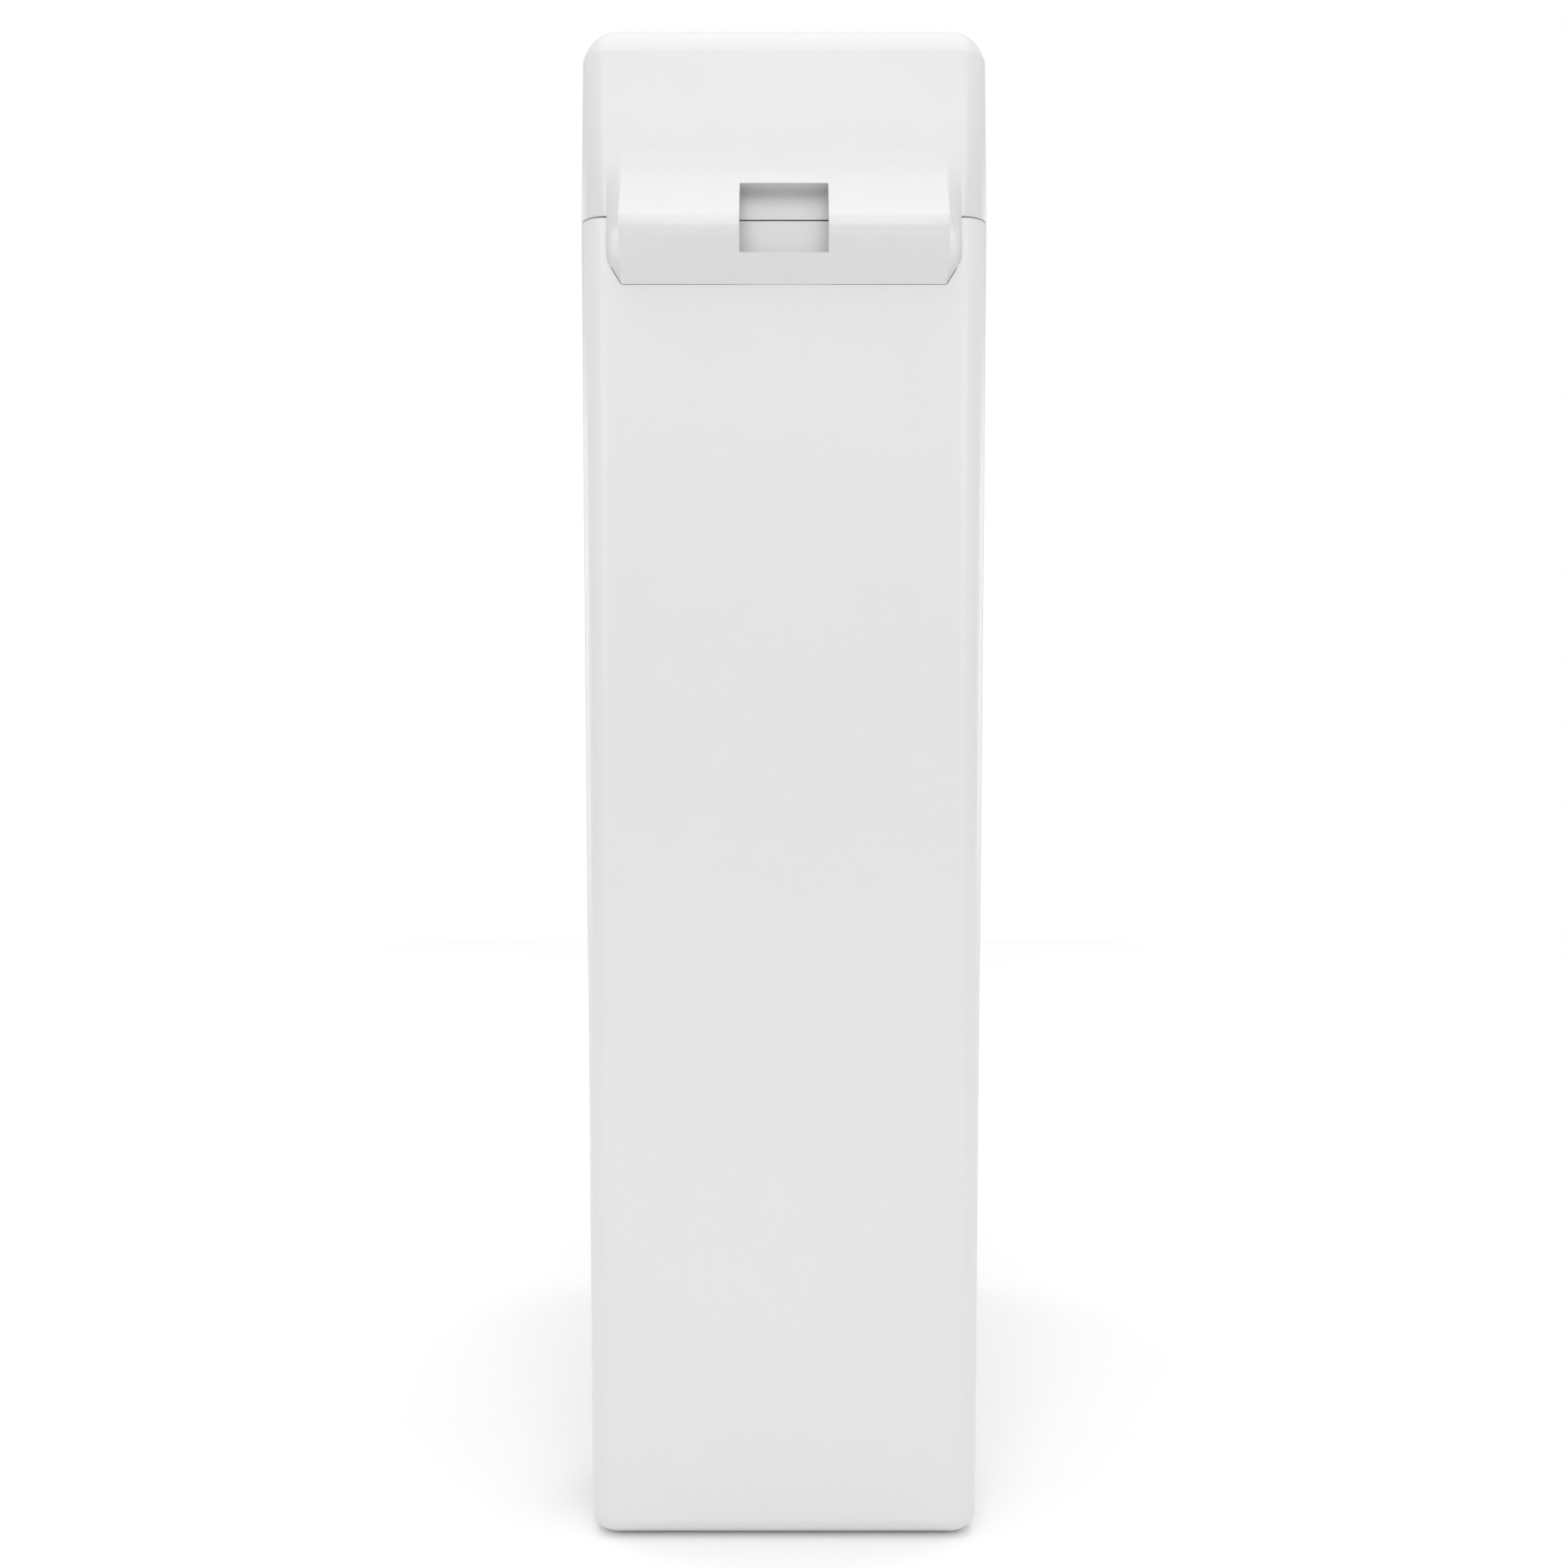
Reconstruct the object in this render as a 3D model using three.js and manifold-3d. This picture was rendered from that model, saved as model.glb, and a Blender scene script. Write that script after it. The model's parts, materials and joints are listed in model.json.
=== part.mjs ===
// Slim floor-standing trash compactor: a top-loading cabinet with a pull-out bin drawer,
// and a rear-hinged lid that carries a screw-driven scissor press.
// Millimetres. +Z is up, the front is -Y, the rear (hinge side) is +Y.
// The origin is the centre of the footprint, on the ground.
import * as THREE from 'three';
import { mergeVertices } from 'three/addons/utils/BufferGeometryUtils.js';
import { ConvexGeometry } from 'three/addons/geometries/ConvexGeometry.js';
import Module from 'manifold-3d';

const wasm = await Module();
wasm.setup();

// ---- driving dimensions ----
const HEIGHT = 690;
const SEAM_Z = 601; // middle of the gap between lid and housing
const SEAM_GAP = 1.2;
const WIDTH_SEAM = 185.8;
const WIDTH_BOTTOM = 176.2;
const WIDTH_TOP = 184.2;
const FRONT_Y = -200; // at the seam
const REAR_Y = 184; // at the seam, without the hinge cover
const CORNER_R = 10;
const WALL = 3;
const REAR_WALL = 6; // thick enough for the hinge recess
const TOP_FILLET = 14;
const BOTTOM_FILLET = 9;
const CLEAR = 0.3; // gap between pieces that touch
const PAD_DROP = 1; // how far the feet stand below the housing

const RIM_Z = SEAM_Z - SEAM_GAP / 2;
const LID_Z = SEAM_Z + SEAM_GAP / 2;

// hinge
const HINGE_Y = 184.5;
const HINGE_Z = SEAM_Z - 22.5;
const PIN_R = 1.5;
const LUG_R = 2.9;
const COVER_REAR_Y = 200;
const COVER_TOP_Z = SEAM_Z + 23.5;
const COVER_TIP_Z = SEAM_Z - 30.5;
const COVER_CREST_Z = SEAM_Z - 8.5;
const COVER_CREST_X = 73.6;
const COVER_BASE_X = 80.5;
const COVER_BASE_Z = [SEAM_Z - 19, SEAM_Z + 19];
const COVER_WALL = 2;
const RECESS_Y = 181; // the two walls behind the hinge cover stand back to this plane
const WINDOW_X = 19.9;
const WINDOW_Z = [SEAM_Z - 19.4, SEAM_Z + 13.3];
const POCKET_R = 8.4; // room for the cover's lower lip as it swings in

// press
const ARM_LENGTH = 318;
const ARM_REST = THREE.MathUtils.degToRad(6);
const ARM_REAR_Y = 148;
const ARM_TOP_Z = 664;
const ARM_HEIGHT = 16;
const ARM_A_X = [52, 57];
const ARM_B_X = [45, 50];
const FLANGE_X = [60, 63];
const SHAFT_R = 3;
const HOLE_R = 3.4;
const STROKE_END = THREE.MathUtils.degToRad(60);
const ARM_FRONT_Y = ARM_REAR_Y - ARM_LENGTH * Math.cos(ARM_REST);
const ARM_LOW_Z = ARM_TOP_Z - ARM_LENGTH * Math.sin(ARM_REST);
const ARM_MID_Y = (ARM_REAR_Y + ARM_FRONT_Y) / 2;
const ARM_MID_Z = (ARM_TOP_Z + ARM_LOW_Z) / 2;
const SLIDE_END_Y = ARM_REAR_Y - ARM_LENGTH * Math.cos(STROKE_END);
const SHAFT_X = 63.8;
const SCREW_R = 4;
const MOTOR_X = 24;
const MOTOR_Z = 658;
const MOTOR_R = 18.5;

// drawer
const DRAWER_Z = [22, SEAM_Z - 17];
const DRAWER_CUT_Y = -188;
const BIN_Z = [52, SEAM_Z - 19];
const BIN_HALF = [80.5, 85];
const BIN_Y = [-187, 165];
const BIN_WALL = 2;
const BIN_REAR_TOP = 350; // low, so that the drawer also opens with the ram down
const SLIDE_Y = [-178, 162];

// ---- solids ----
function solid(geometry) {
  const bare = geometry.clone();
  for (const name of Object.keys(bare.attributes)) {
    if (name !== 'position') bare.deleteAttribute(name);
  }
  const merged = mergeVertices(bare, 1e-4);
  return new wasm.Manifold(new wasm.Mesh({
    numProp: 3,
    vertProperties: new Float32Array(merged.attributes.position.array),
    triVerts: new Uint32Array(merged.index.array),
  }));
}

function join(...pieces) {
  return pieces.map(toSolid).reduce((a, b) => a.add(b));
}

function cut(base, ...tools) {
  return tools.map(toSolid).reduce((a, b) => a.subtract(b), toSolid(base));
}

function common(a, b) {
  return toSolid(a).intersect(toSolid(b));
}

function toSolid(shape) {
  return shape.isBufferGeometry ? solid(shape) : shape;
}

function toGeometry(shape) {
  if (shape.isBufferGeometry) return shape;
  const mesh = shape.getMesh();
  const geometry = new THREE.BufferGeometry();
  geometry.setAttribute('position', new THREE.BufferAttribute(new Float32Array(mesh.vertProperties), 3));
  geometry.setIndex(new THREE.BufferAttribute(new Uint32Array(mesh.triVerts), 1));
  return geometry;
}

function box(x, y, z) {
  const geometry = new THREE.BoxGeometry(x[1] - x[0], y[1] - y[0], z[1] - z[0]);
  return geometry.translate((x[0] + x[1]) / 2, (y[0] + y[1]) / 2, (z[0] + z[1]) / 2);
}

// a cylinder along X
function rodX(radius, x, y, z, sides = 20) {
  const geometry = new THREE.CylinderGeometry(radius, radius, x[1] - x[0], sides);
  return geometry.rotateZ(Math.PI / 2).translate((x[0] + x[1]) / 2, y, z);
}

// a cylinder along Y
function rodY(radius, y, x, z, sides = 20) {
  const geometry = new THREE.CylinderGeometry(radius, radius, y[1] - y[0], sides);
  return geometry.translate(0, (y[0] + y[1]) / 2, 0).translate(x, 0, z);
}

// an outline given as [y, z] points, thick along X
function plateX(points, x) {
  const shape = new THREE.Shape(points.map(([y, z]) => new THREE.Vector2(y, z)));
  const geometry = new THREE.ExtrudeGeometry(shape, { depth: x[1] - x[0], bevelEnabled: false });
  const turn = new THREE.Matrix4().makeBasis(
    new THREE.Vector3(0, 1, 0), new THREE.Vector3(0, 0, 1), new THREE.Vector3(1, 0, 0));
  return geometry.applyMatrix4(turn).translate(x[0], 0, 0);
}

// an outline given as [x, z] points, long along Y
function barY(points, y) {
  const shape = new THREE.Shape(points.map(([x, z]) => new THREE.Vector2(x, z)));
  const geometry = new THREE.ExtrudeGeometry(shape, { depth: y[1] - y[0], bevelEnabled: false });
  return geometry.rotateX(Math.PI / 2).translate(0, y[1], 0);
}

// the [x, y] outline of a rectangle with round corners, anticlockwise from above
function roundOutline({ half, front, rear, radius }, steps = 6) {
  const points = [];
  const corners = [
    [half - radius, rear - radius, 0],
    [-half + radius, rear - radius, 1],
    [-half + radius, front + radius, 2],
    [half - radius, front + radius, 3],
  ];
  for (const [cx, cy, turn] of corners) {
    for (let i = 0; i <= steps; i++) {
      const angle = (turn + i / steps) * Math.PI / 2;
      points.push([cx + radius * Math.cos(angle), cy + radius * Math.sin(angle)]);
    }
  }
  return points;
}

// a closed solid through rounded rectangles, lowest first
function loft(rings) {
  const vertices = [];
  const index = [];
  const outlines = rings.map((ring) => roundOutline(ring));
  const count = outlines[0].length;
  outlines.forEach((outline, level) => {
    for (const [x, y] of outline) vertices.push(x, y, rings[level].z);
  });
  for (let level = 0; level + 1 < rings.length; level++) {
    for (let i = 0; i < count; i++) {
      const a = level * count + i;
      const b = level * count + (i + 1) % count;
      index.push(a, b, b + count, a, b + count, a + count);
    }
  }
  for (const level of [0, rings.length - 1]) {
    const { front, rear, z } = rings[level];
    const centre = vertices.length / 3;
    vertices.push(0, (front + rear) / 2, z);
    for (let i = 0; i < count; i++) {
      const a = level * count + i;
      const b = level * count + (i + 1) % count;
      if (level === 0) index.push(centre, b, a);
      else index.push(centre, a, b);
    }
  }
  const geometry = new THREE.BufferGeometry();
  geometry.setAttribute('position', new THREE.Float32BufferAttribute(vertices, 3));
  geometry.setIndex(index);
  return geometry;
}

// a round tube through points
function tube(points, radius, steps) {
  const section = new THREE.Shape();
  section.absarc(0, 0, radius, 0, Math.PI * 2);
  const path = new THREE.CatmullRomCurve3(points.map((p) => new THREE.Vector3(...p)), false, 'centripetal');
  return new THREE.ExtrudeGeometry(section, { steps, curveSegments: 4, extrudePath: path });
}

// ---- drafted outside of the cabinet ----
function bodyRing(z, inset = 0) {
  const draft = (WIDTH_SEAM - WIDTH_BOTTOM) / 2 * (SEAM_Z - z) / SEAM_Z;
  return {
    z,
    half: WIDTH_SEAM / 2 - draft - inset,
    front: FRONT_Y + draft + inset,
    rear: REAR_Y - draft - inset,
    radius: Math.max(CORNER_R - inset, 2),
  };
}

function lidRing(z, inset = 0) {
  const draft = (WIDTH_SEAM - WIDTH_TOP) / 2 * (z - SEAM_Z) / (HEIGHT - SEAM_Z);
  return {
    z,
    half: WIDTH_SEAM / 2 - draft - inset,
    front: FRONT_Y + draft + inset,
    rear: REAR_Y - draft - inset,
    radius: Math.max(CORNER_R - inset, 2),
  };
}

// rings of a quarter-round edge between a wall and a flat end
function filletRings(ringAt, wallZ, endZ, radius, steps = 4) {
  const rings = [];
  const direction = Math.sign(endZ - wallZ);
  for (let i = 0; i <= steps; i++) {
    const angle = i / steps * Math.PI / 2;
    const z = endZ - direction * radius * (1 - Math.sin(angle));
    const ring = ringAt(z, radius * (1 - Math.cos(angle)));
    ring.radius = CORNER_R + 1 - (CORNER_R - 3) * (1 - Math.cos(angle));
    rings.push(ring);
  }
  return direction > 0 ? rings : rings.reverse();
}

function thickRear(ring) {
  return { ...ring, rear: ring.rear - (REAR_WALL - WALL) };
}

// ---- scene ----
const compactor = new THREE.Group();

const finishes = {
  whitePlastic: { color: 0xe9e9e9, roughness: 0.35, metalness: 0 },
  greyPlastic: { color: 0x8d9094, roughness: 0.5, metalness: 0 },
  blackPlastic: { color: 0x1c1d1f, roughness: 0.5, metalness: 0 },
  binPlastic: { color: 0x5c6166, roughness: 0.55, metalness: 0 },
  rubber: { color: 0x2a2a2b, roughness: 0.85, metalness: 0 },
  steel: { color: 0xb9bcc0, roughness: 0.35, metalness: 1 },
  darkSteel: { color: 0x63666a, roughness: 0.45, metalness: 1 },
  brass: { color: 0xb8954f, roughness: 0.35, metalness: 1 },
  board: { color: 0x1f5a38, roughness: 0.6, metalness: 0 },
  lens: { color: 0x9fd8a8, roughness: 0.2, metalness: 0 },
  button: { color: 0xc9ccd0, roughness: 0.4, metalness: 0 },
};

function add(name, shape, finish) {
  const mesh = new THREE.Mesh(toGeometry(shape), new THREE.MeshStandardMaterial(finishes[finish]));
  mesh.name = name;
  compactor.add(mesh);
  return mesh;
}

// one piece on each side; make(side) gets +1 for +X and -1 for -X
function addPair(name, finish, make) {
  add(`${name}_right`, make(1), finish);
  add(`${name}_left`, make(-1), finish);
}

// a span on one side of the middle, low end first
function sideSpan(side, [near, far]) {
  return side > 0 ? [near, far] : [-far, -near];
}

// ---- hinge cover ----
const COVER_ARC = [190, COVER_CREST_Z]; // centre of the rounded crest
const COVER_ARC_R = COVER_REAR_Y - COVER_ARC[0];
const COVER_FOOT_Y = REAR_Y + CLEAR;

function crestPoints(halfX, radius) {
  const points = [];
  for (let degrees = -60; degrees <= 75; degrees += 15) {
    const angle = THREE.MathUtils.degToRad(degrees);
    const y = COVER_ARC[0] + radius * Math.cos(angle);
    const z = COVER_ARC[1] + radius * Math.sin(angle);
    points.push(new THREE.Vector3(halfX, y, z), new THREE.Vector3(-halfX, y, z));
  }
  return points;
}

function mirroredPoints(list) {
  return list.flatMap(([x, y, z]) => [new THREE.Vector3(x, y, z), new THREE.Vector3(-x, y, z)]);
}

function coverOutside() {
  return new ConvexGeometry([
    ...crestPoints(COVER_CREST_X, COVER_ARC_R),
    ...mirroredPoints([
      [COVER_CREST_X, COVER_FOOT_Y, COVER_TIP_Z],
      [COVER_CREST_X, 182, COVER_TIP_Z],
      [COVER_CREST_X + 3, 183.6, COVER_TOP_Z],
      [COVER_CREST_X, 182, COVER_TOP_Z],
      [COVER_BASE_X, 183.9, COVER_BASE_Z[0]],
      [COVER_BASE_X, 183.7, COVER_BASE_Z[1]],
      [COVER_BASE_X, 182, COVER_BASE_Z[0]],
      [COVER_BASE_X, 182, COVER_BASE_Z[1]],
    ]),
  ]);
}

function coverInside() {
  const half = COVER_CREST_X - COVER_WALL;
  return new ConvexGeometry([
    ...crestPoints(half, COVER_ARC_R - COVER_WALL),
    ...mirroredPoints([
      [half, RECESS_Y, COVER_TIP_Z - 0.6],
      [half, RECESS_Y, WINDOW_Z[1]],
      [half, COVER_ARC[0] - 3.6, WINDOW_Z[1]],
    ]).filter((point) => point.z <= WINDOW_Z[1]),
  ]);
}

const COVER_RIBS = [[WINDOW_X + 0.2, 24], [46, 50]];

function hingeCover() {
  const belowSeam = box([-100, 100], [170, COVER_FOOT_Y], [LID_Z - 50, LID_Z]);
  const outside = cut(coverOutside(), belowSeam);
  const window = box([-WINDOW_X, WINDOW_X], [COVER_FOOT_Y - 5, 210], WINDOW_Z);
  let shell = cut(outside, coverInside(), window);
  const ribZone = cut(coverOutside(), belowSeam, box([-100, 100], [170, COVER_FOOT_Y], [LID_Z - 50, WINDOW_Z[1]]));
  for (const side of [1, -1]) {
    for (const span of COVER_RIBS) {
      shell = shell.add(common(ribZone, box(sideSpan(side, span), [170, 210], [LID_Z - 50, LID_Z + 18])));
    }
    const bore = rodX(PIN_R + CLEAR, sideSpan(side, [WINDOW_X + 0.7, COVER_CREST_X - 1]), HINGE_Y, HINGE_Z, 12);
    shell = shell.subtract(solid(bore));
  }
  return shell;
}

// ---- casings ----
function hingePocket() {
  const half = COVER_CREST_X + CLEAR;
  const tip = COVER_BASE_X - 1.3; // the pocket's pointed ends follow the cover's cut corners
  const profile = [
    [0, -tip], [POCKET_R, -half], [POCKET_R, half], [0, tip],
  ].map(([radius, height]) => new THREE.Vector2(radius, height));
  return new THREE.LatheGeometry(profile, 24).rotateZ(Math.PI / 2).translate(0, HINGE_Y, HINGE_Z);
}

const INLET_Y = [118, 150];
const INLET_Z = [10, 26];

function housing() {
  const outside = loft([...filletRings(bodyRing, SEAM_Z, PAD_DROP, BOTTOM_FILLET), bodyRing(RIM_Z)]);
  const inside = loft([thickRear(bodyRing(PAD_DROP + WALL, WALL + 6)), thickRear(bodyRing(16, WALL)),
    thickRear(bodyRing(RIM_Z + 5, WALL))]);
  const drawerMouth = box([-100, 100], [-210, DRAWER_CUT_Y], DRAWER_Z);
  const recess = box([-COVER_CREST_X - 1, COVER_CREST_X + 1], [RECESS_Y, 190], [HINGE_Z, RIM_Z + 5]);
  const boss = box([-83, 83], [172.5, 179], [HINGE_Z - 12.5, HINGE_Z + 12.5]);
  const inletHole = box([80, 100], INLET_Y, INLET_Z);
  return cut(join(cut(outside, inside), boss), drawerMouth, recess, hingePocket(), inletHole);
}

const LENS_Z = HEIGHT - 16;
const BUTTON_Z = HEIGHT - 35;
const BUTTON_X = 16;
const BUTTON_R = 7;
const LENS_R = 2.5;

function lidShell() {
  const outside = loft([lidRing(LID_Z), ...filletRings(lidRing, LID_Z, HEIGHT, TOP_FILLET, 6)]);
  const inside = loft([thickRear(lidRing(LID_Z - 5, WALL)), thickRear(lidRing(HEIGHT - 14, WALL)),
    thickRear(lidRing(HEIGHT - WALL, WALL + 8))]);
  const recess = box([-COVER_CREST_X - 1, COVER_CREST_X + 1], [RECESS_Y, 190], [LID_Z - 5, WINDOW_Z[1]]);
  const gripBlock = box([-46, 46], [-197.5, -190.5], [LID_Z, LID_Z + 21]);
  const gripRecess = box([-38, 38], [-205, -195], [LID_Z - 1, LID_Z + 13.5]);
  const buttonHoles = [-1, 1].map((side) => rodY(BUTTON_R + CLEAR, [-205, -190], side * BUTTON_X, BUTTON_Z));
  const lensHole = rodY(LENS_R + CLEAR, [-205, -190], 0, LENS_Z, 12);
  const casing = cut(join(cut(outside, inside, recess), gripBlock), gripRecess, ...buttonHoles, lensHole);
  return join(casing, hingeCover());
}

const GRIP_X = 45;
const GRIP_Z = [DRAWER_Z[1] - 46, DRAWER_Z[1] - 20];

function drawerPanel() {
  const zone = box([-100, 100], [-210, DRAWER_CUT_Y - CLEAR], [DRAWER_Z[0] + 0.7, DRAWER_Z[1] - 0.7]);
  const outside = common(loft([bodyRing(10), bodyRing(600)]), zone);
  const hollow = common(loft([bodyRing(10, WALL), bodyRing(600, WALL)]),
    box([-100, 100], [-210, -180], [DRAWER_Z[0] + 4, DRAWER_Z[1] - 54]));
  const cup = box([-GRIP_X, GRIP_X], [-205, -190.5], GRIP_Z);
  const undercut = box([-GRIP_X, GRIP_X], [-196, -190.5], [GRIP_Z[1] - 1, DRAWER_Z[1] - 7]);
  return cut(outside, hollow, cup, undercut);
}

function binRing(z, inset = 0) {
  const t = (z - BIN_Z[0]) / (BIN_Z[1] - BIN_Z[0]);
  return {
    z,
    half: BIN_HALF[0] + (BIN_HALF[1] - BIN_HALF[0]) * t - inset,
    front: BIN_Y[0] + inset,
    rear: BIN_Y[1] - inset,
    radius: 8 - inset,
  };
}

function bin() {
  const outside = loft([binRing(BIN_Z[0], 4), binRing(BIN_Z[0] + 5), binRing(BIN_Z[1])]);
  const inside = loft([binRing(BIN_Z[0] + BIN_WALL + 1, BIN_WALL + 3), binRing(BIN_Z[0] + 9, BIN_WALL),
    binRing(BIN_Z[1] + 5, BIN_WALL)]);
  const lowRear = box([-100, 100], [BIN_Y[1] - 8, 180], [BIN_REAR_TOP, 600]);
  return cut(outside, inside, lowRear);
}

add('housing', housing(), 'whitePlastic');
add('lid_shell', lidShell(), 'whitePlastic');
add('drawer_panel', drawerPanel(), 'whitePlastic');
add('bin', bin(), 'binPlastic');

function rimGasket() {
  const ringAt = (z, inset) => thickRear(bodyRing(z, WALL + CLEAR + inset));
  const outside = loft([ringAt(SEAM_Z - 5, 0), ringAt(SEAM_Z - 0.1, 0)]);
  const inside = loft([ringAt(SEAM_Z - 10, 3), ringAt(SEAM_Z + 10, 3)]);
  const latchGap = box([-24, 24], [-210, -185], [SEAM_Z - 20, SEAM_Z + 20]);
  return cut(outside, inside, latchGap);
}
add('rim_gasket', rimGasket(), 'rubber');

for (const [x, y, name] of [[-62, -165, 'front_left'], [62, -165, 'front_right'],
  [-62, 150, 'rear_left'], [62, 150, 'rear_right']]) {
  const pad = new THREE.CylinderGeometry(11, 11, PAD_DROP - 0.02, 24).rotateX(Math.PI / 2);
  add(`foot_pad_${name}`, pad.translate(x, y, (PAD_DROP - 0.02) / 2), 'rubber');
}

// ---- hinge ----
const BRACKET_X = [27, 69];
const LUG_X = [[27, 44.5], [51.5, 69]];
const STRIP_Y = [RECESS_Y + CLEAR, RECESS_Y + 2.2];
const STRIP_Z = [SEAM_Z - 13.5, SEAM_Z - 1.4];

function hingeBracket(side) {
  let bracket = toSolid(box(sideSpan(side, BRACKET_X), STRIP_Y, STRIP_Z));
  const neck = [[STRIP_Y[0], STRIP_Z[0] + 2], [STRIP_Y[0] + 0.3, STRIP_Z[0] - 2], [HINGE_Y - LUG_R, HINGE_Z + 2],
    [HINGE_Y - LUG_R + 0.5, HINGE_Z], [HINGE_Y + LUG_R - 0.5, HINGE_Z], [HINGE_Y + 0.5, HINGE_Z + 8],
    [STRIP_Y[1], STRIP_Z[0] + 2]];
  for (const span of LUG_X) {
    bracket = bracket.add(solid(rodX(LUG_R, sideSpan(side, span), HINGE_Y, HINGE_Z, 16)));
    bracket = bracket.add(solid(plateX(neck, sideSpan(side, span))));
  }
  return cut(bracket, rodX(PIN_R + 0.2, sideSpan(side, [20, 80]), HINGE_Y, HINGE_Z, 12));
}

addPair('hinge_bracket', 'steel', hingeBracket);
addPair('hinge_pin', 'steel', (side) => rodX(PIN_R, sideSpan(side, [WINDOW_X + 1, COVER_CREST_X - 1.4]),
  HINGE_Y, HINGE_Z, 12));

// ---- base and drawer slides ----
const FLOOR_Z = PAD_DROP + WALL + CLEAR;
const SLIDE_Z = [26, 48];
const SLIDE_WALL = 1.5;

function baseFrame() {
  const plate = box([-76, 76], [-176, 160], [FLOOR_Z, FLOOR_Z + 2.5]);
  const risers = [1, -1].map((side) => box(sideSpan(side, [73.5, 76]), [-150, 100], [FLOOR_Z, 11.5]));
  const shelves = [1, -1].map((side) => box(sideSpan(side, [73.5, 81]), [-150, 100], [9, 11.5]));
  const uprights = [1, -1].map((side) => box(sideSpan(side, [79, 81]), [-150, 100], [9, SLIDE_Z[1]]));
  return join(plate, ...risers, ...shelves, ...uprights);
}

// a channel lying on its side, its open edge towards the middle of the cabinet
function channel(side, x, z) {
  const [near, far] = x;
  const [low, high] = z;
  const web = far - SLIDE_WALL;
  const points = [[near, low], [far, low], [far, high], [near, high], [near, high - SLIDE_WALL],
    [web, high - SLIDE_WALL], [web, low + SLIDE_WALL], [near, low + SLIDE_WALL]];
  return barY(points.map(([px, pz]) => [px * side, pz]), SLIDE_Y);
}

add('base_frame', baseFrame(), 'darkSteel');
addPair('slide_fixed', 'steel', (side) => channel(side, [66, 78.6], SLIDE_Z));
addPair('slide_middle', 'steel', (side) => channel(side, [62, 76.6], [SLIDE_Z[0] + 2, SLIDE_Z[1] - 2]));
addPair('slide_inner', 'steel', (side) => channel(side, [58, 74.6], [SLIDE_Z[0] + 4, SLIDE_Z[1] - 4]));

function drawerFrame() {
  const tray = box([-76, 76], [-182, 160], [49, 51.6]);
  const legs = [1, -1].map((side) => box(sideSpan(side, [54.5, 57.7]), [-178, 160], [31, 50]));
  return join(tray, ...legs);
}
add('drawer_frame', drawerFrame(), 'darkSteel');

// ---- press ----
const PRESS_Y = [-186, 164];
const PRESS_PLATE_Z = [680, 683];

function slotX(y, z, x) {
  return join(box(x, y, [z - HOLE_R, z + HOLE_R]), rodX(HOLE_R, x, y[0], z, 16), rodX(HOLE_R, x, y[1], z, 16));
}

function pressFrame() {
  const plate = box([-FLANGE_X[1], FLANGE_X[1]], PRESS_Y, PRESS_PLATE_Z);
  const flanges = [1, -1].map((side) => box(sideSpan(side, FLANGE_X), PRESS_Y, [655, PRESS_PLATE_Z[1]]));
  const slot = slotX([ARM_FRONT_Y, SLIDE_END_Y], ARM_TOP_Z, [-70, 70]);
  const pivotHole = rodX(SHAFT_R + 0.2, [-70, 70], ARM_REAR_Y, ARM_TOP_Z, 16);
  return cut(join(plate, ...flanges), slot, pivotHole);
}

// a link between two pivots given as [y, z]
function link(from, to, x) {
  const half = ARM_HEIGHT / 2;
  const angle = Math.atan2(to[1] - from[1], to[0] - from[0]);
  const points = [];
  for (const [centre, start] of [[to, -90], [from, 90]]) {
    for (let degrees = 0; degrees <= 180; degrees += 22.5) {
      const turn = angle + THREE.MathUtils.degToRad(start + degrees);
      points.push([centre[0] + half * Math.cos(turn), centre[1] + half * Math.sin(turn)]);
    }
  }
  const middle = [(from[0] + to[0]) / 2, (from[1] + to[1]) / 2];
  const holes = [from, middle, to].map(([y, z]) => rodX(HOLE_R, [x[0] - 1, x[1] + 1], y, z, 16));
  return cut(plateX(points, x), ...holes);
}

const REAR_TOP = [ARM_REAR_Y, ARM_TOP_Z];
const REAR_LOW = [ARM_REAR_Y, ARM_LOW_Z];
const FRONT_TOP = [ARM_FRONT_Y, ARM_TOP_Z];
const FRONT_LOW = [ARM_FRONT_Y, ARM_LOW_Z];

function shaft([y, z]) {
  return rodX(SHAFT_R, [-SHAFT_X, SHAFT_X], y, z, 16);
}

const RAM_HALF = 77;
const RAM_Y = [-178, 163];
const RAM_Z = [607.6, 610.6];
const RAM_FACE_Z = [604.4, RAM_Z[0] - CLEAR];

function ram() {
  const plate = box([-RAM_HALF, RAM_HALF], RAM_Y, RAM_Z);
  const rails = [1, -1].map((side) => box(sideSpan(side, FLANGE_X), [-176, 158], [RAM_Z[0], 639]));
  const slot = slotX([ARM_FRONT_Y, SLIDE_END_Y], ARM_LOW_Z, [-70, 70]);
  const pivotHole = rodX(SHAFT_R + 0.2, [-70, 70], ARM_REAR_Y, ARM_LOW_Z, 16);
  return cut(join(plate, ...rails), slot, pivotHole);
}

function driveNut() {
  const block = box([-12, 12], [ARM_FRONT_Y - 8, ARM_FRONT_Y + 8], [ARM_TOP_Z - 9, ARM_TOP_Z + 9]);
  const arms = [1, -1].map((side) => rodX(SHAFT_R, sideSpan(side, [11, SHAFT_X]), ARM_FRONT_Y, ARM_TOP_Z, 16));
  return cut(join(block, ...arms), rodY(SCREW_R + CLEAR, [-200, 0], 0, ARM_TOP_Z));
}

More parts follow.
